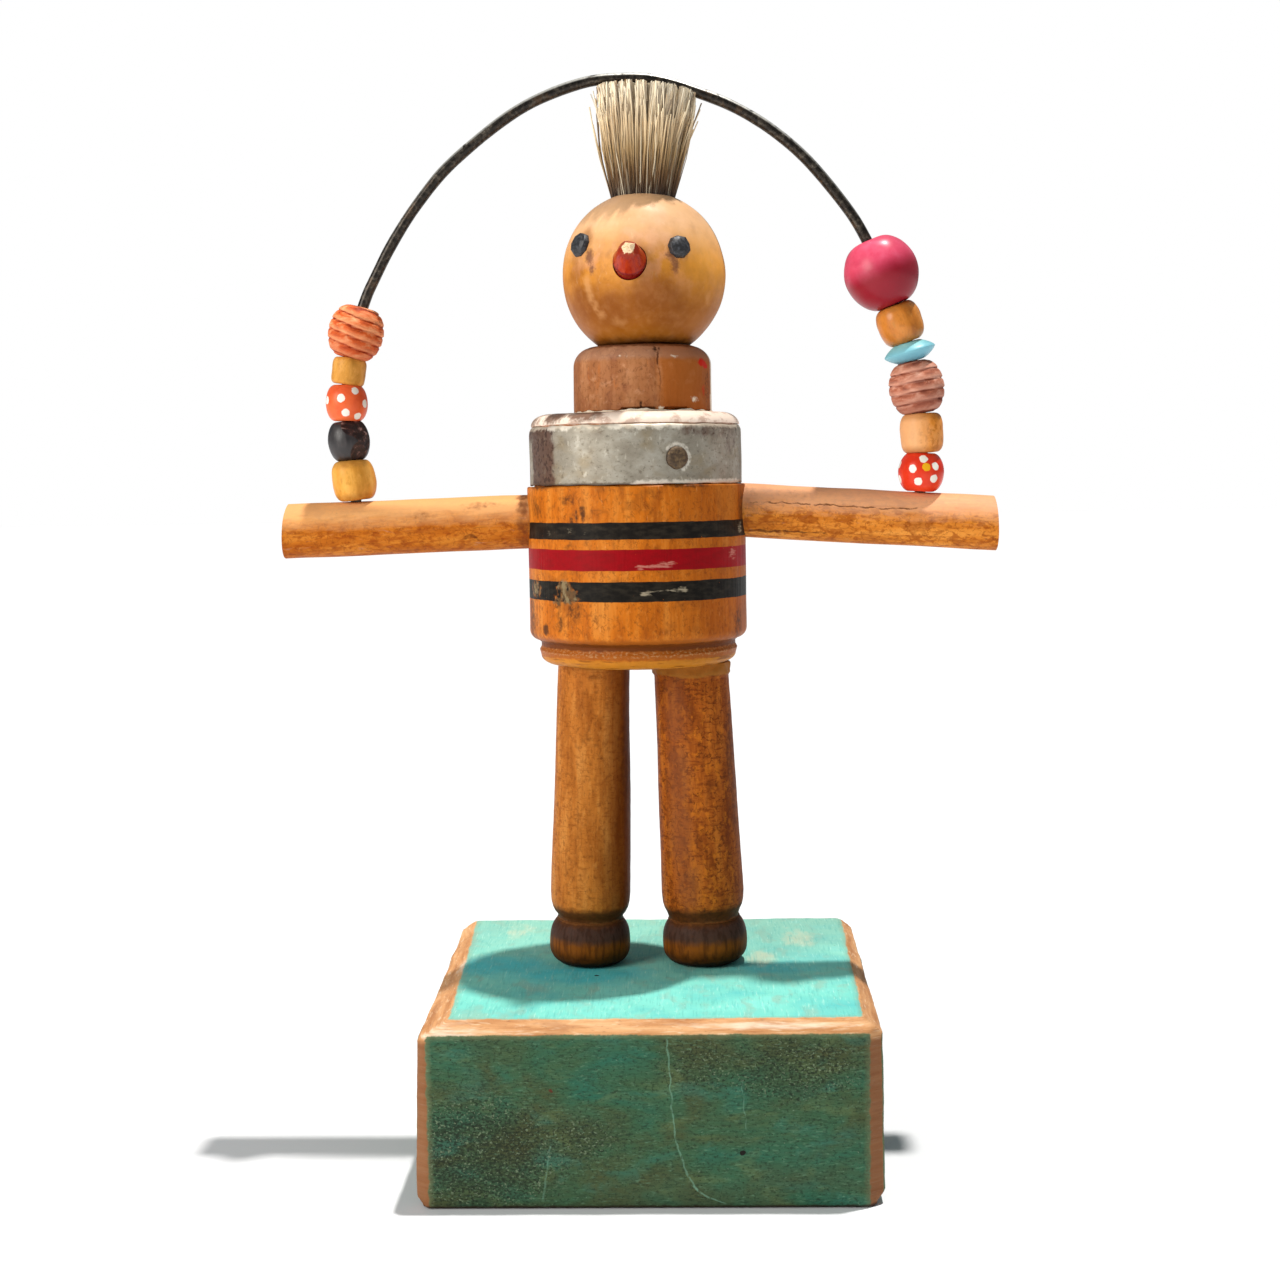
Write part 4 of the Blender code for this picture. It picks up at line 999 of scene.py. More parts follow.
def makeBand():
    high, low, crimp, outer = band["top"], band["bottom"], band["crimp"], band["radius"]
    inner = outer - band["wall"]
    profile = [
        (outer - crimp - 0.25, high), (outer - crimp, high - 0.15),
        (outer - 0.2 * crimp, high - band["crimpHeight"] / 2), (outer, high - band["crimpHeight"]),
        (outer, low + 0.2), (outer - 0.15, low), (inner, low), (inner, high),
    ]
    shape = turned(profile, band["steps"], 0.7, ring=True)
    nailed = around(outer, nail["azimuth"], nail["height"])
    for vert in shape.verts:  # cut with snips, so neither rim is quite level, and a burr round the nail
        x, y, z = vert.co
        away = vert.co - nailed
        way = away.normalized()
        burr = 0.3 * math.exp(-(((away.length - 3.5) / 0.5) ** 2)) * max(0, 0.5 + 0.6 * way.x + 0.5 * way.z)
        rim = max(0, 1 - min(high - z, z - low) / 2.5)
        vert.co.z += rim * band["waver"] * lumps(x, y, z > (high + low) / 2, 5)
        reach = math.hypot(x, y)
        if reach > outer - 0.7:
            pushOut(vert, (band["dent"] * lumps(x, y, z, 7) - 0.02 + burr) * reach / outer)
    # galvanised steel, long weathered: dull mottled grey zinc, a strip of brown rust, lime along the edges,
    # and a pale top rim that is partly a painted highlight
    zinc = finish(
        "weatheredGalvanisedSteel", {"Metallic": 0.4, "Specular IOR Level": 0.35}, ((1.6, 0.9), 5, 5),
        band["stops"], (0.42, 0.6), 0.05, band["layers"], ((6, 4), 6, 2, 0.2),
    )
    addPiece(shape, "metal_band", upright(torso["x"]), [zinc], band["spots"], outer)


def makeNail():
    way = around(1, nail["azimuth"], 0)
    seat = Vector((torso["x"], figureY, nail["height"])) + way * (band["radius"] + band["gap"] - nail["sunk"])
    head, dome, shank, length = nail["head"], nail["dome"], nail["shank"], nail["length"]
    profile = [(0, dome * 0.92), (0.6 * head, dome * 0.86)]
    profile += arc((0.6 * head, 0), (0.4 * head, dome * 0.8), 80, 0, 6)
    profile += [(head - 0.15, -0.15), (shank, -0.2), (shank, 1.5 - length), (0, -length)]
    shape = turned(profile, 48, 0.35)
    for vert in shape.verts:  # hammered flats and a burr
        x, y, z = vert.co
        if z > 0.3:
            vert.co.z += 0.2 * lumps(x, y, 0, 2.2) + 0.05 * lumps(x, y, 5, 0.8)
        if math.hypot(x, y) > 0.8 * head:
            pushOut(vert, 0.05 * lumps(x, y, 3, 1.4) * math.hypot(x, y))
    # a hand-forged nail, hammered and rusted brown: matt, pitted, a little brighter where it is rubbed
    rust = finish(
        "rustedForgedIron", {"Metallic": 0.35}, (0.8, 4, 3),
        [(0.3, "#3A2C20"), (0.5, "#57432F"), (0.72, "#7E6648")],
        (0.5, 0.75), 0.05, [("#2A1D14", heightBand, -1, 0.35, 0.1, 0.3, 0.8, 1)],
    )
    addPiece(shape, "band_nail", along(seat, way), [rust])


makeBand()
makeNail()


# The arms: two dowels, sawn off by hand at a slant

armLook = {
    "tones": ("#DC8C34", "#C06A18", "#964406"), "grain": (0.9, 14), "streaks": 0.4,
    "spread": (0.26, 0.76), "rough": (0.45, 0.6), "relief": 0.1, "sway": 4.5, "curls": (2.6, 0.035, 0.5),
    "ink": "#7C3404", "crumb": 0.5, "stain": ("#6A3418", 1.4, 0.75, 0.4), "worn": ("#EBC193", 2.5, 0.6, 0.3),
    "blotches": [
        ((1.8, 3), (0.5, 0.62), "#9C4808", 0.7, 25), ((3, 12), (0.54, 0.7), "#A85A1C", 0.6, 2),
        ((0.9, 5), (0.56, 0.68), "#8A3C06", 0.5, 37), ((0.3, 14), (0.66, 0.71), "#54260E", 0.75, 6),
        ((2, 5), (0.62, 0.74), "#B98364", 0.45, 9), ((1, 0.6), (0.68, 0.76), "#6B3414", 0.4, 19),
    ],
}


def makeArm(name, arm):
    place, length = armPlace(arm)
    root, tip, socket, soiled = arm["root"], arm["tip"], armForm["socket"], arm["soiled"]
    inner = root - (tip - root) / length * socket
    profile = [(0, length + 3), (tip, length + 3), (root, 0), (inner, -socket), (0, -socket)]
    shape = turned(profile, armForm["steps"], 1.1)
    roughened(shape, armForm["swells"], arm["seed"])
    upper = -arm["side"]  # local +x is up on the left arm and down on the right one
    tilt = math.radians(armForm["slant"])
    rim = sliced(shape, (0, 0, length - tip * math.tan(tilt)), (upper * math.sin(tilt), 0, math.cos(tilt)))
    eased(shape, [edge for edge in rim if edge.is_valid], armForm["ease"], 3)
    spots = [((root * math.cos(a), -root * math.sin(a), 0.6), (4, 3.2), soiled) for a in (0.3, 1, 1.7, 2.4)]
    spots += [
        ((0, -root, length), (9, 1.2), 0.4), ((upper * 5, -5, 12), (2, 8), 0.7 * soiled),
        ((upper * 3, -6.5, 28), (1.5, 2, 6), 0.65 * soiled),
    ]
    # a turned beech dowel, only lightly oiled: dry tan wood with grain cracks along it, pale on its top,
    # partly bleached and partly painted light
    wood = woodMaterial("oiledBeechDowel_" + name, {**armLook, **arm["look"]})
    addPiece(shape, name, place, [wood], {dark: spots})


for armName, arm in arms.items():
    makeArm(armName, arm)


# The neck, a short plug with a rounded top, and the glue that squeezed out under it

neck = {
    "x": -0.1, "radius": 18.7, "topRadius": 13.3, "bottom": 200.5, "top": 218.2, "ease": 5.2, "footEase": 0.4,
    "steps": 160, "swells": [(9, 14, 0.2), (3, 7, 0.06)], "chips": ((-17, 13), (20, 41)),
    "chipped": (0.75, 2.5),
    "look": {
        "tones": ("#B87E54", "#A4683F", "#824824"), "grain": (0.9, 12), "streaks": 0.35,
        "spread": (0.24, 0.78), "rough": (0.42, 0.56), "curls": (3.4, 0.02, 0.4), "ink": "#4E2410",
        # the side tint is painted shade down the neck's right side
        "side": ("#A85A1A", 3.6, 6, 0.75), "stain": ("#30160A", 0.6, 0.9, 0.25),
        "worn": ("#C42008", 0.8, 1, 0.2), "residue": ("#EADCC6", 1, 0.95, 0.2),
        "cracks": [
            ([(4.9, 217), (4.3, 212.5)], 0.34, 0.75), ([(4.3, 213), (5.2, 208), (4.6, 202.5)], 0.3, 0.4),
            ([(-0.3, 203), (0.1, 201)], 0.3, 0.5),
        ],
        "blotches": [
            (4, (0.52, 0.68), "#8E5234", 0.5, 2), (3, (0.56, 0.7), "#D29A70", 0.45, 37),
            ((2, 6), (0.6, 0.72), "#BC6A2E", 0.45, 7), ((2.2, 0.5), (0.64, 0.74), "#7C431F", 0.4, 12),
            (0.8, (0.68, 0.76), "#4A2410", 0.5, 23),
        ],
        "zones": [(214.2, 217.6, "#B08A74", 1.6, 0.35), (217.4, 219, "#3A1C10", 0.6, 0.6)],
    },
    "spots": {
        dark: [
            (around(17.2, 13, 216.6), (0.9, 2, 1.6), 0.8), ((0, 202.2), (0.7, 1, 1.8), 0.7),
            ((70, 207), (4, 8), 0.4),
        ],
        pale: [
            ((60, 213.2), (2.6, 3, 1.5), 1), ((66, 212.4), (2, 3, 1.2), 0.9),
            ((62, 206), (0.8, 1.6, 2.6), 0.6),
        ],
        third: [
            (around(17.7, -10, 214.8), (5, 2, 0.9), 0.45), (around(17.7, 28, 214.6), (3, 2, 0.8), 0.5),
            ((50, 203.4), (3, 1.3), 0.6), ((16.5, 201), (1.2, 1), 1),
        ],
    },
}


def makeNeck():
    high, low, radius = neck["top"], neck["bottom"], neck["radius"]
    flat, ease, footEase = neck["topRadius"], neck["ease"], neck["footEase"]
    corner = arc((flat, high - ease), (radius - flat, ease), 90, 0, 14)
    profile = [(0, high)] + corner + [(radius, low + footEase), (radius - footEase, low), (0, low)]
    shape = turned(profile, neck["steps"], 0.8)
    roughened(shape, neck["swells"], 3)
    lift, tall = neck["chipped"]
    for vert in shape.verts:
        x, y, z = vert.co
        azimuth, reach = math.degrees(math.atan2(x, -y)), math.hypot(x, y)
        if reach > radius - 2 and z < low + tall and any(a < azimuth < b for a, b in neck["chips"]):
            vert.co.z += lift * (1 - (z - low) / tall)
        if reach > neck["topRadius"] and low + 3 < z < high - 0.5:  # a drying crack down the front
            pushOut(vert, -0.2 * math.exp(-(((azimuth - 14 - 3 * lumps(0, 0, z, 3)) * 0.33 / 0.35) ** 2)))
    glue = turned(arc((radius + 0.05, low + 0.05), (0.5, 0.42), 0, 360, 10)[:-1], 180, 1, ring=True)
    for vert in glue.verts:  # lumps, thin or missing in places
        x, y, z = vert.co
        lump = min(max(0.55 + 1.3 * lumps(x, y, 2, 3.2) + 0.5 * lumps(x, y, 9, 1.1), 0.15), 1.5)
        vert.co.z = low + (z - low) * lump
        pushOut(vert, (math.hypot(x, y) - radius) * (lump - 1) - 0.1)
    plugCount = len(shape.verts)
    shape.from_mesh(meshOf(glue))

    def markGlue(mesh, places, marks):
        marks[plugCount:, third] = 1

    # a stained beech plug: brown and open-grained, with a drying crack and a spot of red paint, and painted
    # shade down its right side
    wood = woodMaterial("stainedBeechPlug", neck["look"])
    addPiece(shape, "neck", upright(neck["x"]), [wood], neck["spots"], radius, extra=markGlue)


makeNeck()


# The head, a big turned bead, with its eyes and nose

head = {
    "x": 0.65, "z": 237.2, "radius": 22, "half": 22.5, "gap": 0.3, "steps": 160,
    "swells": [(16, 16, 0.3), (5, 5, 0.06)],
    "look": {
        "tones": ("#EFAC5C", "#DC9034", "#B86E1A"), "grain": (3, 9), "streaks": 0.25,
        "spread": (0.22, 0.8), "rough": (0.38, 0.5), "coat": 0.04, "gloss": 0.12, "relief": 0.03,
        # the side tint is painted light on the head's right side
        "wobble": 0.8, "side": ("#FFB044", 5, 19, 0.75), "crumb": 0.25, "stain": ("#824406", 4, 0.8, 0.6),
        "worn": ("#D69C62", 2, 0.6, 0.7), "residue": ("#704434", 0.8, 0.8, 0.35),
        "blotches": [
            (9, (0.48, 0.62), "#E2A284", 0.45, 51), (7, (0.5, 0.66), "#B4701F", 0.55, 2),
            ((3, 6), (0.56, 0.7), "#C4803C", 0.5, 33), (3, (0.6, 0.76), "#9A5E22", 0.35, 6),
            ((1.2, 3), (0.62, 0.76), "#F2CC9C", 0.4, 29), (0.8, (0.7, 0.77), "#7A4218", 0.5, 9),
        ],
        "zones": [
            # the zones: a paler upper half, partly painted light from above, and a darker lower half and
            # bottom rim, partly painted shade under the head
            (7, 30, "#F2C8A0", 14, 0.65), (-30, -4, "#8A4A08", 14, 0.86), (-24, -17.8, "#4E2A0C", 2.4, 0.75),
        ],
    },
    "spots": {
        dark: [
            ((3, -20, -7), (11, 8, 8), 0.95), ((8, -18, -12), (9, 8, 6), 0.8),
            ((-9, -18, -11), (10, 8, 7), 1), ((-15, -13, -8), (7, 9, 7), 0.9),
            ((-17, -13, 0), (4, 8, 6), 0.5), ((-14.5, -14, 9), (2.6, 6, 5), 0.6),
            ((0, 18, -6), (14, 8, 8), 0.6),
        ],
        pale: [
            ((-14.5, -16.2, -2.6), (1.5, 4, 1.8), 0.75), ((-14.2, -16, -4.6), (1.2, 4, 2), 0.8),
            ((-13.6, -15.8, -7), (1.2, 4, 2), 0.8), ((-12.4, -15.6, -9.4), (1.2, 4, 1.8), 0.8),
            ((-10.8, -15.6, -11.4), (1.5, 4, 1.5), 0.7), ((-6.4, -16.6, -13.6), (3, 4, 1.5), 0.3),
            ((-15.5, -15.6, 3.4), (1.8, 4, 3.6), 0.5), ((-5.6, -20.8, 6.6), (3, 4, 1.2), 0.6),
            ((2, -16.5, 14), (7, 6, 3), 0.6), ((17.5, -12.4, -7.6), (1.5, 3, 2.6), 0.6),
        ],
        third: [
            ((8.4, -20, 3.2), (3.2, 4, 2), 0.85), ((8.8, -20, 0.4), (1.8, 4, 3), 0.7),
            ((-13.7, -16.6, 3.6), (1.8, 3, 3), 0.85), ((-13, -17.6, 0.2), (1.3, 3, 2.4), 0.75),
        ],
    },
}
eyes = {
    "left_eye": {"at": (-50.3, 18.3), "seed": 3, "radius": 3.3},
    "right_eye": {"at": (27.2, 13.9), "seed": 5, "radius": 3.1},
}
eyeForm = {"dome": 1.8, "seat": 0.6, "sides": 9, "flats": 4, "knock": 0.16, "ease": 0.12}
nose = {
    "at": (-7.9, 4.3), "points": (-1.1, 22), "radius": 4.2, "tip": 1.95, "length": 7.8, "peg": 3.5,
    "gap": 0.3, "facets": 5, "collar": 0.18,
    "layers": [
        # a dark crimson ring where the peg goes into the head: painted shade
        ("#74060E", heightBand, -4, 0.85, 0.15, 0.5, 0.95, 1.5),
        ("#8A2A12", heightBand, 5.6, 7.2, 0.4, 0.5, 0.6, 1.2),
        ("#F0D2AA", heightBand, 6.75, 9.5, 0.3, 0.15, 1, 1),
        ("#C08A58", both, (heightBand, 6.5, 9.5, 0.5, 0.3, 0.7, 0.9), (patches, 0.5, (0.54, 0.62))),
    ],
}


def facing(azimuth, latitude):
    a, b = math.radians(azimuth), math.radians(latitude)
    return Vector((math.sin(a) * math.cos(b), -math.cos(a) * math.cos(b), math.sin(b)))


def onHead(azimuth, latitude):
    # the point of the head's surface that lies that way from its centre, and the normal there
    way = facing(azimuth, latitude)
    radii = (head["radius"], head["radius"], head["half"])
    offset = way / math.sqrt(sum((w / r) ** 2 for w, r in zip(way, radii)))
    normal = Vector([o / r ** 2 for o, r in zip(offset, radii)]).normalized()
    return Vector((head["x"], figureY, head["z"])) + offset, normal


nosePlace = along(onHead(*nose["at"])[0], facing(*nose["points"]))


def makeHead():
    low = neck["top"] + head["gap"] - head["z"]
    start = math.degrees(math.asin(low / head["half"]))
    outline = arc((0, 0), (head["radius"], head["half"]), 90, start, 64)
    shape = turned([(0, head["half"])] + outline[1:] + [(0, low)], head["steps"], 0.9)
    roughened(shape, head["swells"], 5)
    drill = drillBit(nose["radius"] + nose["gap"], 10, -nose["peg"] - nose["gap"], 48)
    place = Matrix.Translation((head["x"], figureY, head["z"]))
    drill.transform(place.inverted() @ nosePlace)
    bored(shape, [drill])
    # a big turned bead of lime wood under shellac: golden and glossy, with painted light on its right side, a
    # paler upper half that is partly painted light, and darker low down, partly as painted shade under it
    wood = woodMaterial("shellackedLimeWood", head["look"])
    addPiece(shape, "head", place, [wood], head["spots"])


def makeEyes():
    # heads of forged tacks under old stove black: charcoal flats with a blue-grey sheen
    black = finish(
        "blackenedForgedTack", {"Metallic": 0.3, "Specular IOR Level": 0.6}, (0.7, 4, 2),
        [(0.3, "#1E1C1E"), (0.52, "#2E2D30"), (0.76, "#4E5158")], (0.38, 0.6), 0.08,
    )
    dome, seat, knock = eyeForm["dome"], eyeForm["seat"], eyeForm["knock"]
    for name, eye in eyes.items():
        radius, rolled = eye["radius"], random.Random(eye["seed"])
        profile = [
            (0, dome * 0.95), (0.55 * radius, dome * 0.9), (0.9 * radius, 0.6 * dome), (radius, 0.1 * dome),
            (radius, -seat), (0, -seat),
        ]
        shape = turned(profile, eyeForm["sides"], 30)
        for vert in shape.verts:
            if vert.co.z > 0.5:
                vert.co += Vector(rolled.uniform(-knock, knock) for _ in range(3))
        for _ in range(eyeForm["flats"]):
            way = Vector((rolled.uniform(-1, 1), rolled.uniform(-1, 1), 1.5)).normalized()
            sliced(shape, Vector((0, 0, -seat)) + way * (radius * 0.66 + seat + 0.5), way)
        eased(shape, shape.edges[:], eyeForm["ease"])
        addPiece(shape, name, along(*onHead(*eye["at"])), [black], crease=28)


def makeNose():
    rolled = random.Random(7)
    radius, tip, length, peg = nose["radius"], nose["tip"], nose["length"], nose["peg"]
    shoulder, collar = length - 0.6, radius + nose["collar"]
    profile = [(0, length), (tip - 0.7, length), (tip, shoulder)]
    for share in (0.2, 0.4, 0.6, 0.8):
        profile.append((tip + (radius - tip) * share ** 0.8, shoulder - (length - 1.1) * share))
    profile += [(radius, 0.8), (collar, 0.4), (collar, 0), (radius, -0.6), (radius, -peg), (0, -peg)]
    shape = turned(profile, 64, 0.4)
    for facet in range(nose["facets"]):  # whittled round the tip
        a = math.radians(360 / nose["facets"] * facet + rolled.uniform(-15, 15))
        way = Vector((math.cos(a), math.sin(a), 0.9)).normalized()
        reach = tip - 1 + rolled.uniform(0, 0.3)
        sliced(shape, Vector((way.x * reach, way.y * reach, length - 0.25)), way)
    roughened(shape, [(2.4, 4, 0.06)], 2)
    # a peg dipped in red lacquer, its tip worn back to pale wood: glossy, with a dark ring of painted shade
    # where it goes in
    lacquer = finish(
        "redLacqueredPeg", {"Coat Weight": 0.2, "Coat Roughness": 0.12, "Specular IOR Level": 0.15},
        ((0.9, 4), 3, 2), [(0.3, "#8C1602"), (0.5, "#A22604"), (0.72, "#B43A0E")], (0.22, 0.4), 0.05,
        nose["layers"],
    )
    addPiece(shape, "nose", nosePlace, [lacquer], crease=30)


makeHead()
makeEyes()
makeNose()


# The cut brush in the crown

tuft = {
    "x": 0.8, "root": 8.5, "top": 14, "topZ": 285.3, "lean": 2.2, "slant": 2.2, "depth": 5.4,
    "flare": [(0, 0), (0.46, 0.41), (0.76, 0.73), (1, 1)], "strands": 6000, "thick": 0.155, "locks": 90,
    "strays": 40,
    "layers": [
        # the dark mark darkens some strands and the whole core, the core standing in for the shade between
        # the strands
        ("#F2E4C6", marked, pale, 0.55, 1, 0.7), ("#5A4028", marked, dark, 0.45, 0.9, 0.85),
        ("#B98C54", marked, third, 0.5, 1, 0.6),
    ],
}


def bristleMaterial():
    # hog bristle from an old brush: fine stiff hairs, beige at the cut ends and brown at the root, paler at
    # the ends as painted light and darker low down as painted shade, round a dark core that stands in for the
    # shade between the strands
    material, tree = newMaterial("agedHogBristle", {"Specular IOR Level": 0.35, "Sheen Weight": 0.15})
    # darker at the root and paler at the cut ends: partly the bristle's own colour, partly painted shade deep
    # in the tuft and painted light on the lit ends
    climb = addNode(tree, "MapRange", {1: 0, 2: 27}, {0: read(tree, "axes", "Z")})
    stops = [(0, "#2A180A"), (0.2, "#74522A"), (0.42, "#B49464"), (0.66, "#ECD2A8"), (1, "#FFF2D8")]
    colour = layered(tree, addNode(tree, "ValToRGB", {"stops": stops}, {0: climb}), tuft["layers"])
    return surfaceOf(material, colour, (0.5, 0.65), pattern(tree, (0.3, 4), 2), 0.02)


def makeTuft():
    rolled = random.Random(11)
    root, flare = tuft["root"], tuft["flare"]
    rootZ = head["z"] + head["half"] * math.sqrt(1 - (root / head["radius"]) ** 2)
    tall = tuft["topZ"] - rootZ
    growth = tuft["top"] / root - 1
    slope = math.tan(math.radians(tuft["slant"]))
    locks = []
    for _ in range(tuft["locks"]):
        a, r = rolled.uniform(0, math.tau), math.sqrt(rolled.random())
        locks.append(Vector((r * math.cos(a), r * math.sin(a), 0)))
    shades, lines = [], []
    for number in range(tuft["strands"] + tuft["strays"]):
        stray = number >= tuft["strands"]
        a = rolled.uniform(0, math.tau)
        r = 1 if stray else math.sqrt(rolled.random())
        start = Vector((r * math.cos(a), r * math.sin(a), 0))
        near = min(locks, key=lambda lock: (lock - start).length_squared)
        end = start.lerp(near, rolled.uniform(0.1, 0.82) * (0.2 if stray else 1))
        if stray:
            end *= rolled.uniform(1.02, 1.15)
        short = abs(rolled.gauss(0, 0.35)) + (rolled.uniform(1, 9) if rolled.random() < 0.25 else 0)
        short += end.x * tuft["top"] * slope + (rolled.uniform(0, 4) if stray else 0)
        bend = Vector((rolled.gauss(0, 0.6), rolled.gauss(0, 0.6), 0))
        begin = -1 if r > 0.6 else 2
        line = []
        for share, flared in flare:
            at = start.lerp(end, share) * root * 0.97 * (1 + growth * flared)
            at += bend * math.sin(math.pi * share)
            at.z = begin + (tall + 1.2 - short - begin) * share
            line.append((at, rolled.uniform(0.75, 1.25) * (0.9 + 0.2 * share)))
        lines.append(line)
        browned = max(0, min(1, 0.6 - 0.6 * start.x - 0.4 * abs(start.y)))
        shades.append((rolled.random() ** 1.4, rolled.random() ** 1.5, browned))
    strands = rods(tuft["thick"], 0, lines)
    perStrand = len(strands.vertices) // len(shades)
    wide = [(0.8 * root * (1 + growth * flared), share * 0.86 * tall) for share, flared in flare]
    foot = [(0.9 * root, -tuft["depth"]), (0, -tuft["depth"])]
    core = turned([(0, wide[-1][1])] + wide[::-1] + foot, 48, 3)
    coreCount = len(core.verts)
    core.from_mesh(strands)

    def shadeStrands(mesh, places, marks):
        marks[coreCount:, :3] = np.repeat(shades, perStrand, axis=0)
        marks[coreCount:, third] *= places[coreCount:, 2] > 0.8 * tall
        # the core is marked dark: painted shade seen between the strands
        marks[:coreCount, dark] = 1

    place = along((tuft["x"], figureY, rootZ), (math.tan(math.radians(tuft["lean"])), 0, 1))
    addPiece(core, "bristle_tuft", place, [bristleMaterial()], extra=shadeStrands, crease=70)


makeTuft()


# The bent rod, from the hole in the left arm over the top to the right

hoop = {
    "radius": 1.5, "spacing": 2, "swells": [(9, 9, 0.07), (2.5, 2.5, 0.03)],
    "route": [
        (-79.4, 168.6), (-79.4, 177.2), (-79.7, 183.1), (-80.9, 193.6), (-81.3, 204.1), (-80.4, 213),
        (-78.2, 223.6), (-75.2, 232.4), (-72.8, 237.4), (-67.2, 247.6), (-59.7, 258.4), (-50.1, 268.9),
        (-32.4, 282), (-15.6, 288.6), (-3, 289.7), (6, 288.8), (16.5, 285.4), (26.7, 281),
        (36.2, 275), (45, 267.3), (54.2, 256.3), (59.6, 248.2), (64.8, 237.1), (69.7, 223.6), (72.4, 216),
        (74.3, 206), (75.8, 193.5), (75.4, 182.9), (75.1, 177.6), (74.9, 168.6),
    ],
    "stops": [(0.3, "#15110D"), (0.5, "#2A231C"), (0.64, "#4A4238"), (0.8, "#7A7468")],
    "layers": [
        ("#5A4430", patches, 4, (0.58, 0.7), 0.5, 3, 8),
        # pale grey on the faces that look up: a painted highlight
        ("#D2CEC6", both, (lookingUp, 0.35, 0.65, 0.9), (patches, 2, (0.28, 0.46), 1, 4, 14)),
    ],
}


def hoopLine():
    # points along the rod on a smooth curve through its route
    route = [Vector((x, figureY, z)) for x, z in hoop["route"]]
    route = [2 * route[0] - route[1], *route, 2 * route[-1] - route[-2]]
    line = []
    for a, b, c, d in zip(route, route[1:], route[2:], route[3:]):
        count = max(2, round((c - b).length / hoop["spacing"]))
        for i in range(count):
            t = i / count
            cubic = (2 * a - 5 * b + 4 * c - d) * t ** 2 + (3 * b - a - 3 * c + d) * t ** 3
            line.append(0.5 * (2 * b + (c - a) * t + cubic))
    return line + [route[-2]]


rodLine = hoopLine()


def makeHoop():
    shape = bmesh.new()
    shape.from_mesh(rods(hoop["radius"], 6, [[(place, 1) for place in rodLine]]))
    bmesh.ops.remove_doubles(shape, verts=shape.verts, dist=weld)
    roughened(shape, hoop["swells"], 1)
    # mild steel rod, bent cold and gone black with age: dark brown-black, with a painted highlight of pale
    # grey along its upper side, softly glossy
    steel = finish(
        "blackenedSteelRod", {"Metallic": 0.55, "Specular IOR Level": 0.5}, (1.2, 5, 2), hoop["stops"],
        (0.28, 0.44), 0.03, hoop["layers"],
    )
    addPiece(shape, "wire_hoop", Matrix(), [steel])


makeHoop()


# The beads on the rod. A size is width, height and fullness, where 2 is round and more is a barrel

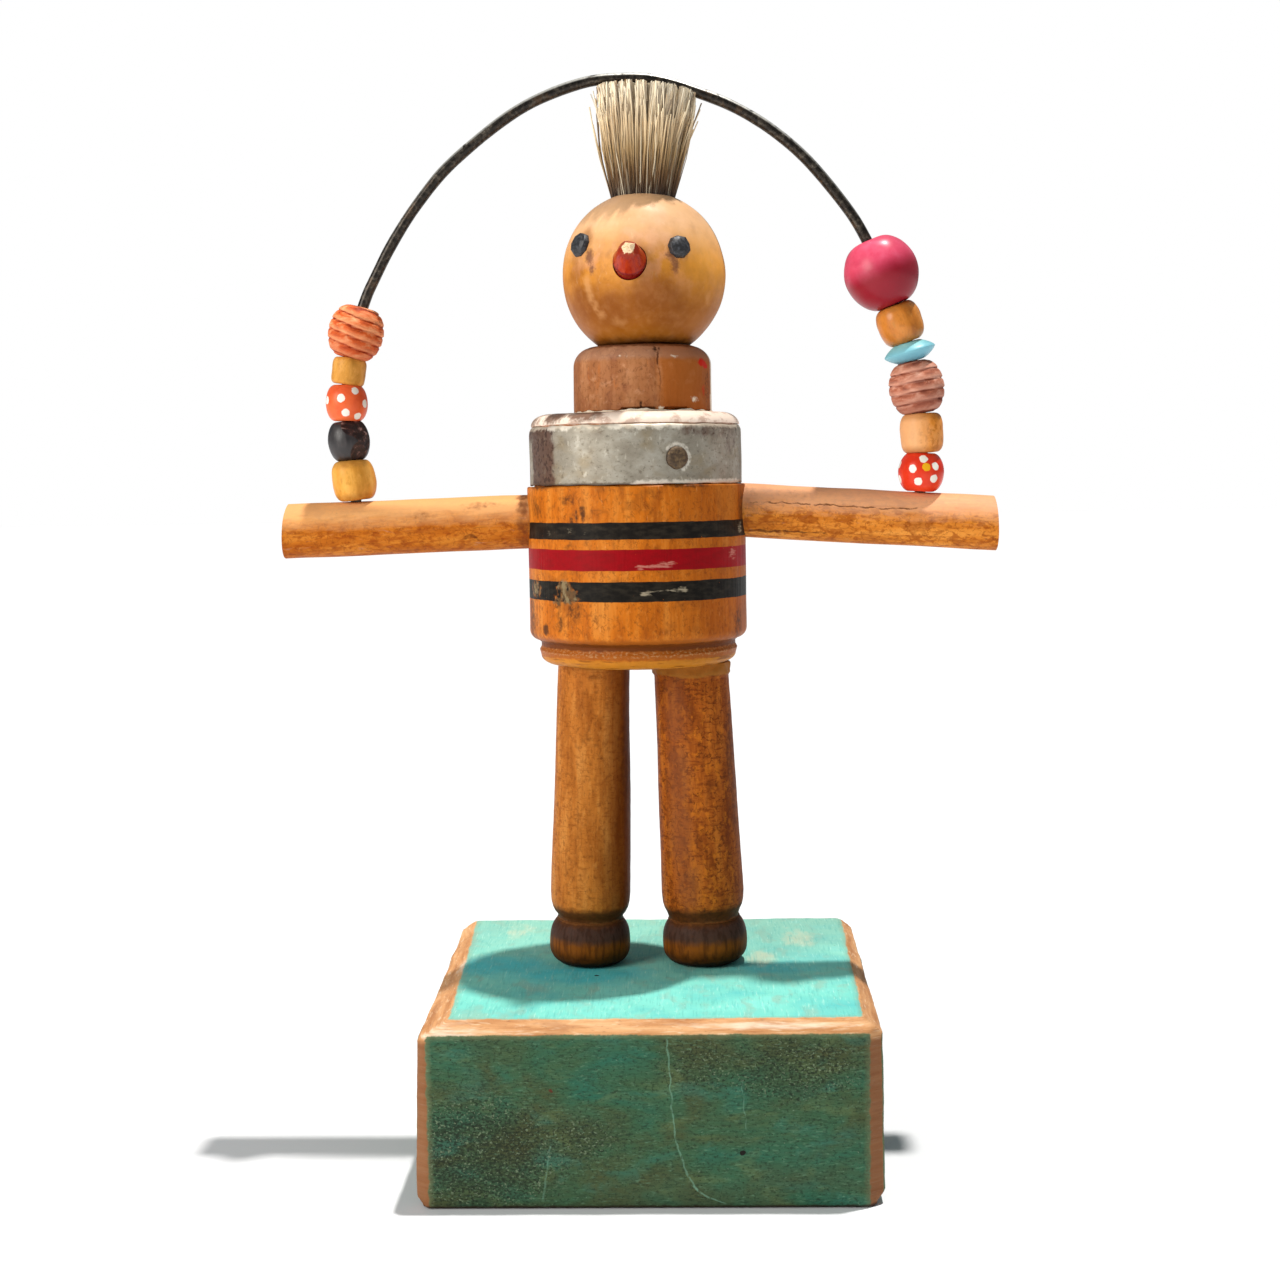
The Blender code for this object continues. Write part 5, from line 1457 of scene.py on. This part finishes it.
beadWood = {
    "tones": ("#EDB768", "#D49A4A", "#A9702C"), "grain": (0.8, 5), "streaks": 0.35,
    "rough": (0.36, 0.52), "coat": 0.1, "relief": 0.05, "spread": (0.24, 0.78),
    "blotches": [(3, (0.56, 0.68), "#B97F38", 0.5, 2), (0.9, (0.7, 0.76), "#7A4A1E", 0.5, 5)],
    "zones": [(3.6, 8, "#A66A2C", 1.6, 0.4), (-8, -3.8, "#9A5F26", 1.6, 0.45)],
}
beads = {
    "left_barrel_bead": {
        "size": (12, 10.8, 2.5), "slot": "bead_wood", "wood": {"tones": ("#F5BC62", "#E4A044", "#C07C26")},
    },
    "left_black_bead": {
        "size": (11.4, 10.4, 1.85), "slot": "bead_black",
        # each break's azimuth and latitude, and how far out it is
        "breaks": [(26, 32, 5.3), (50, 24, 5), (62, -4, 5.15), (44, -26, 5.3)],
    },
    "left_dotted_bead": {
        "size": (11.4, 9.6, 2), "slot": "bead_orange", "paint": ("#D84E26", "#EA6232", "#F07440"),
        "gloss": (0.34, 0.42),
        "dots": [
            (-0.5, -5.5, 1.2), (3, -3.9, 3.2), (5.4, -1.9, -0.1), (0.6, -4.9, -2.6), (3.4, -3, -3.4),
            (-4.9, -3, 0.6), (-3.4, 3.6, 2.2), (0.5, 5.5, -0.8), (4.2, 3.2, 1.6), (-3.6, 3.2, -2.8),
        ],
    },
    "left_small_barrel_bead": {
        "size": (9.3, 7, 3.2), "slot": "bead_wood", "wood": {"tones": ("#EDB060", "#D4923E", "#A56C24")},
    },
    "left_grooved_bead": {
        "size": (15.2, 13.8, 1.95), "slot": "bead_clay", "tilt": 0.12,
        "clay": ("#982F06", "#DA5E20", "#FBB07C"),
    },
    "right_dotted_bead": {
        "size": (12.4, 10.2, 1.9), "slot": "bead_red", "paint": ("#D02A16", "#E23A1E", "#EA4A28"),
        "gloss": (0.2, 0.26), "yellow": (0.6, -6, 1.4),
        "dots": [
            (-2.9, -5.2, 0.8), (-0.2, -5.1, 3.5), (3.2, -5.2, 1.8), (-1.3, -5.4, -2.5), (2.9, -5.3, -1.6),
            (-6, -0.4, 1.8), (-5.8, -1, -2.2), (5.8, 0.6, 0.4), (-3.2, 5, 1), (0.8, 5.6, -1.6),
            (3.8, 4.2, 2.2),
        ],
    },
    "right_barrel_bead": {
        "size": (11.7, 10.4, 3), "slot": "bead_wood",
        "wood": {
            "tones": ("#F2B070", "#E08A34", "#B86418"), "grain": (1.6, 6),
            "side": ("#F0B682", 2, -2.5, 0.75), "blotches": [((1.3, 1.6), (0.5, 0.62), "#B4641A", 0.6, 7)],
        },
    },
    "right_grooved_bead": {
        "size": (15.1, 13.9, 1.95), "slot": "bead_clay", "tilt": -0.02,
        "clay": ("#7A3826", "#B96C50", "#E6AC94"),
    },
    "right_saucer_bead": {
        "size": (14, 5, 1.3), "slot": "bead_saucer", "paint": ("#7CC2C8", "#93D4D4", "#A8E0DC"),
        "under": "#78B8CC", "gloss": (0.34, 0.5),
    },
    "right_oval_bead": {
        "size": (12.2, 10.3, 2.3), "slot": "bead_wood",
        "wood": {
            "tones": ("#DE9244", "#CC7A26", "#A05812"), "rough": (0.28, 0.42), "coat": 0.25, "gloss": 0.3,
        },
    },
    "right_pink_ball": {
        "size": (20, 18.2, 1.85), "slot": "bead_pink", "drop": 0.35,
        # under: a darker lower half, painted shade
        "paint": ("#CE3C5A", "#DC4A68", "#E6607E"), "under": "#8A0C1E", "gloss": (0.32, 0.4), "coat": 0.2,
    },
}
beadForm = {
    "hole": 2.05, "rim": 1.1, "ease": 0.15, "snug": 0.12, "big": 14.5, "bigPlay": 0.25, "dot": 1.12,
    "grooves": 4, "scored": 0.8,
}


def beadPaint(name, bead):
    # lacquer over a turned wooden bead: smooth and even, with small nicks, and its dots laid on by hand; the
    # pink ball darker on its lower half as painted shade, and the saucer bluer on its lower part
    surface = {"Coat Weight": bead.get("coat", 0.12), "Coat Roughness": 0.28, "Specular IOR Level": 0.18}
    material, tree = newMaterial("lacqueredBead_" + name, surface)
    mottle = pattern(tree, 4, 4, 2, 0.2)
    low, mid, high = bead["paint"]
    colour = addNode(tree, "ValToRGB", {"stops": [(0.24, low), (0.5, mid), (0.78, high)]}, {0: mottle})
    layers = [(low, patches, 0.7, (0.72, 0.78), 0.4, 2, 6)]
    if "under" in bead:
        # a darker lower part: on the pink ball this is painted shade
        layers.append((bead["under"], heightBand, -20, 1.2, 0.4, 6, 0.95, 5))
    wander = pattern(tree, 1.1, 2, 4)
    dots = [("#F4EEE2", place) for place in bead.get("dots", ())]
    dots += [("#F2B01C", bead["yellow"])] if "yellow" in bead else []
    layers += [(paint, dot, place, beadForm["dot"], wander, 0.6) for paint, place in dots]
    return surfaceOf(material, layered(tree, colour, layers), bead["gloss"], mottle, 0.05)


def clayBead(name, bead):
    # a bead rolled from terracotta and scored while soft: matt and gritty, dark in the grooves, with a
    # painted highlight on the upper part of each land and painted shade on the bead's lower part
    low, mid, high = bead["clay"]
    layers = [
        # pale on the upper part of each land as a painted highlight, dark in the grooves, and the lower part
        # darker as painted shade
        (high, marked, pale, 0, 1, 0.75), (low, marked, dark, 0.1, 0.7, 0.95),
        (high, patches, 0.8, (0.62, 0.74), 0.4, 3, 9), (low, heightBand, -20, -2.5, 0.4, 7, 0.45, 4),
    ]
    return finish(
        "scoredTerracotta_" + name, {"Specular IOR Level": 0.3}, (0.7, 5, 2),
        [(0.3, low), (0.5, mid), (0.72, high)],
        (0.62, 0.8), 0.06, layers, ((4, 1.6), 4, 5, 0.4),
    )


def blackBead():
    # a wooden bead stained black, with a large chip: charcoal, satin outside and brown and broken in the chip
    stops = [(0.35, "#1A1415"), (0.52, "#241D1D"), (0.7, "#332B2C")]
    torn = [(0.45, "#241615"), (0.58, "#4A302A"), (0.68, "#A08078")]
    surface = {"Coat Weight": 0.1, "Coat Roughness": 0.3}
    bare = {"Specular IOR Level": 0.4}
    return [
        finish("ebonisedWoodBead", surface, ((1, 3), 4, 2), stops, (0.34, 0.55), 0.1),
        finish("brokenBeadWood", bare, ((2.6, 1.2, 1.3), 3, 7), torn, (0.4, 0.6), 0.25),
    ]


def scoredBead(shape, bead, half, edge, seed):
    # cuts the grooves with a slope between them, and returns how dark and how pale each point is, the pale
    # being a painted highlight on the upper part of each land
    spacing, scored = 1.55 * half / beadForm["grooves"], beadForm["scored"]
    shades = np.zeros((len(shape.verts), 2))
    shape.verts.index_update()
    for vert in shape.verts:
        x, y, z = vert.co
        if math.hypot(x, y) < edge:
            continue
        level = z + bead["tilt"] * x + 0.4 * lumps(x / 6, y / 6, seed) + 0.07 * lumps(x, y, z)
        place = level / spacing + 0.5
        ledge = place - math.floor(place)  # 0 just over a groove and 1 just under the next
        off = min(ledge, 1 - ledge)
        deep = math.exp(-((off / 0.09) ** 2)) * (0.9 + 0.3 * lumps(x / 4, y / 4, round(place) + seed))
        shades[vert.index] = (deep * scored, 1 - 1.7 * ledge)
        pushOut(vert, -scored * (0.25 * ledge + 0.6 * max(0, deep)) + 0.05 * lumps(x, y, z, 1.3))
    return np.clip(shades, 0, 1)


def makeBead(name, bead):
    low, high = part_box(name)
    middle = (low + high) / (2 * mm)
    wide, tall, full = bead["size"]
    nearest = min(range(2, len(rodLine) - 2), key=lambda i: (rodLine[i] - middle).length)
    reach = max(1, round(tall / 2 / hoop["spacing"]))
    way = rodLine[min(nearest + reach, len(rodLine) - 1)] - rodLine[max(nearest - reach, 0)]
    way = way if way.z > 0 else -way
    big = wide > beadForm["big"]
    half, hole = tall / 2 + beadForm["snug"], beadForm["hole"] + (beadForm["bigPlay"] if big else 0)
    rim, count = hole + beadForm["rim"], 48 if big else 36
    profile = []
    for i in range(count + 1):
        share = math.cos(math.pi * i / count)
        profile.append((rim + (wide / 2 - rim) * (1 - abs(share) ** full) ** (1 / full), share * half))
    profile += [(hole, -half + beadForm["ease"]), (hole, half - beadForm["ease"])]
    shape = turned(profile, 72, 0.9, ring=True)
    crease, storeShades = 50, None
    if "clay" in bead:
        shades = scoredBead(shape, bead, half, rim + 0.2, len(name) * 1.3)

        def storeShades(mesh, places, marks):
            marks[:, :2] = shades

        materials = [clayBead(name, bead)]
    elif "breaks" in bead:
        for azimuth, latitude, out in bead["breaks"]:
            sliced(shape, facing(azimuth, latitude) * out, facing(azimuth, latitude))
        for face in shape.faces:
            face.material_index = int(len(face.verts) > 6)  # the faces that the breaks left
        materials, crease = blackBead(), 14
    elif "paint" in bead:
        roughened(shape, [(4, 4, 0.1)], len(name))
        materials = [beadPaint(name, bead)]
    else:
        roughened(shape, [(5, 5, 0.25), (1.6, 1.6, 0.06)], len(name))
        # turned wooden beads, oiled: tan and satin, browner round the holes
        materials = [woodMaterial("oiledBeadWood_" + name, {**beadWood, **bead["wood"]})]
    place = along(middle - way.normalized() * bead.get("drop", 0), way)
    addPiece(shape, name, place, materials, crease=crease, extra=storeShades)


for beadName, bead in beads.items():
    makeBead(beadName, bead)
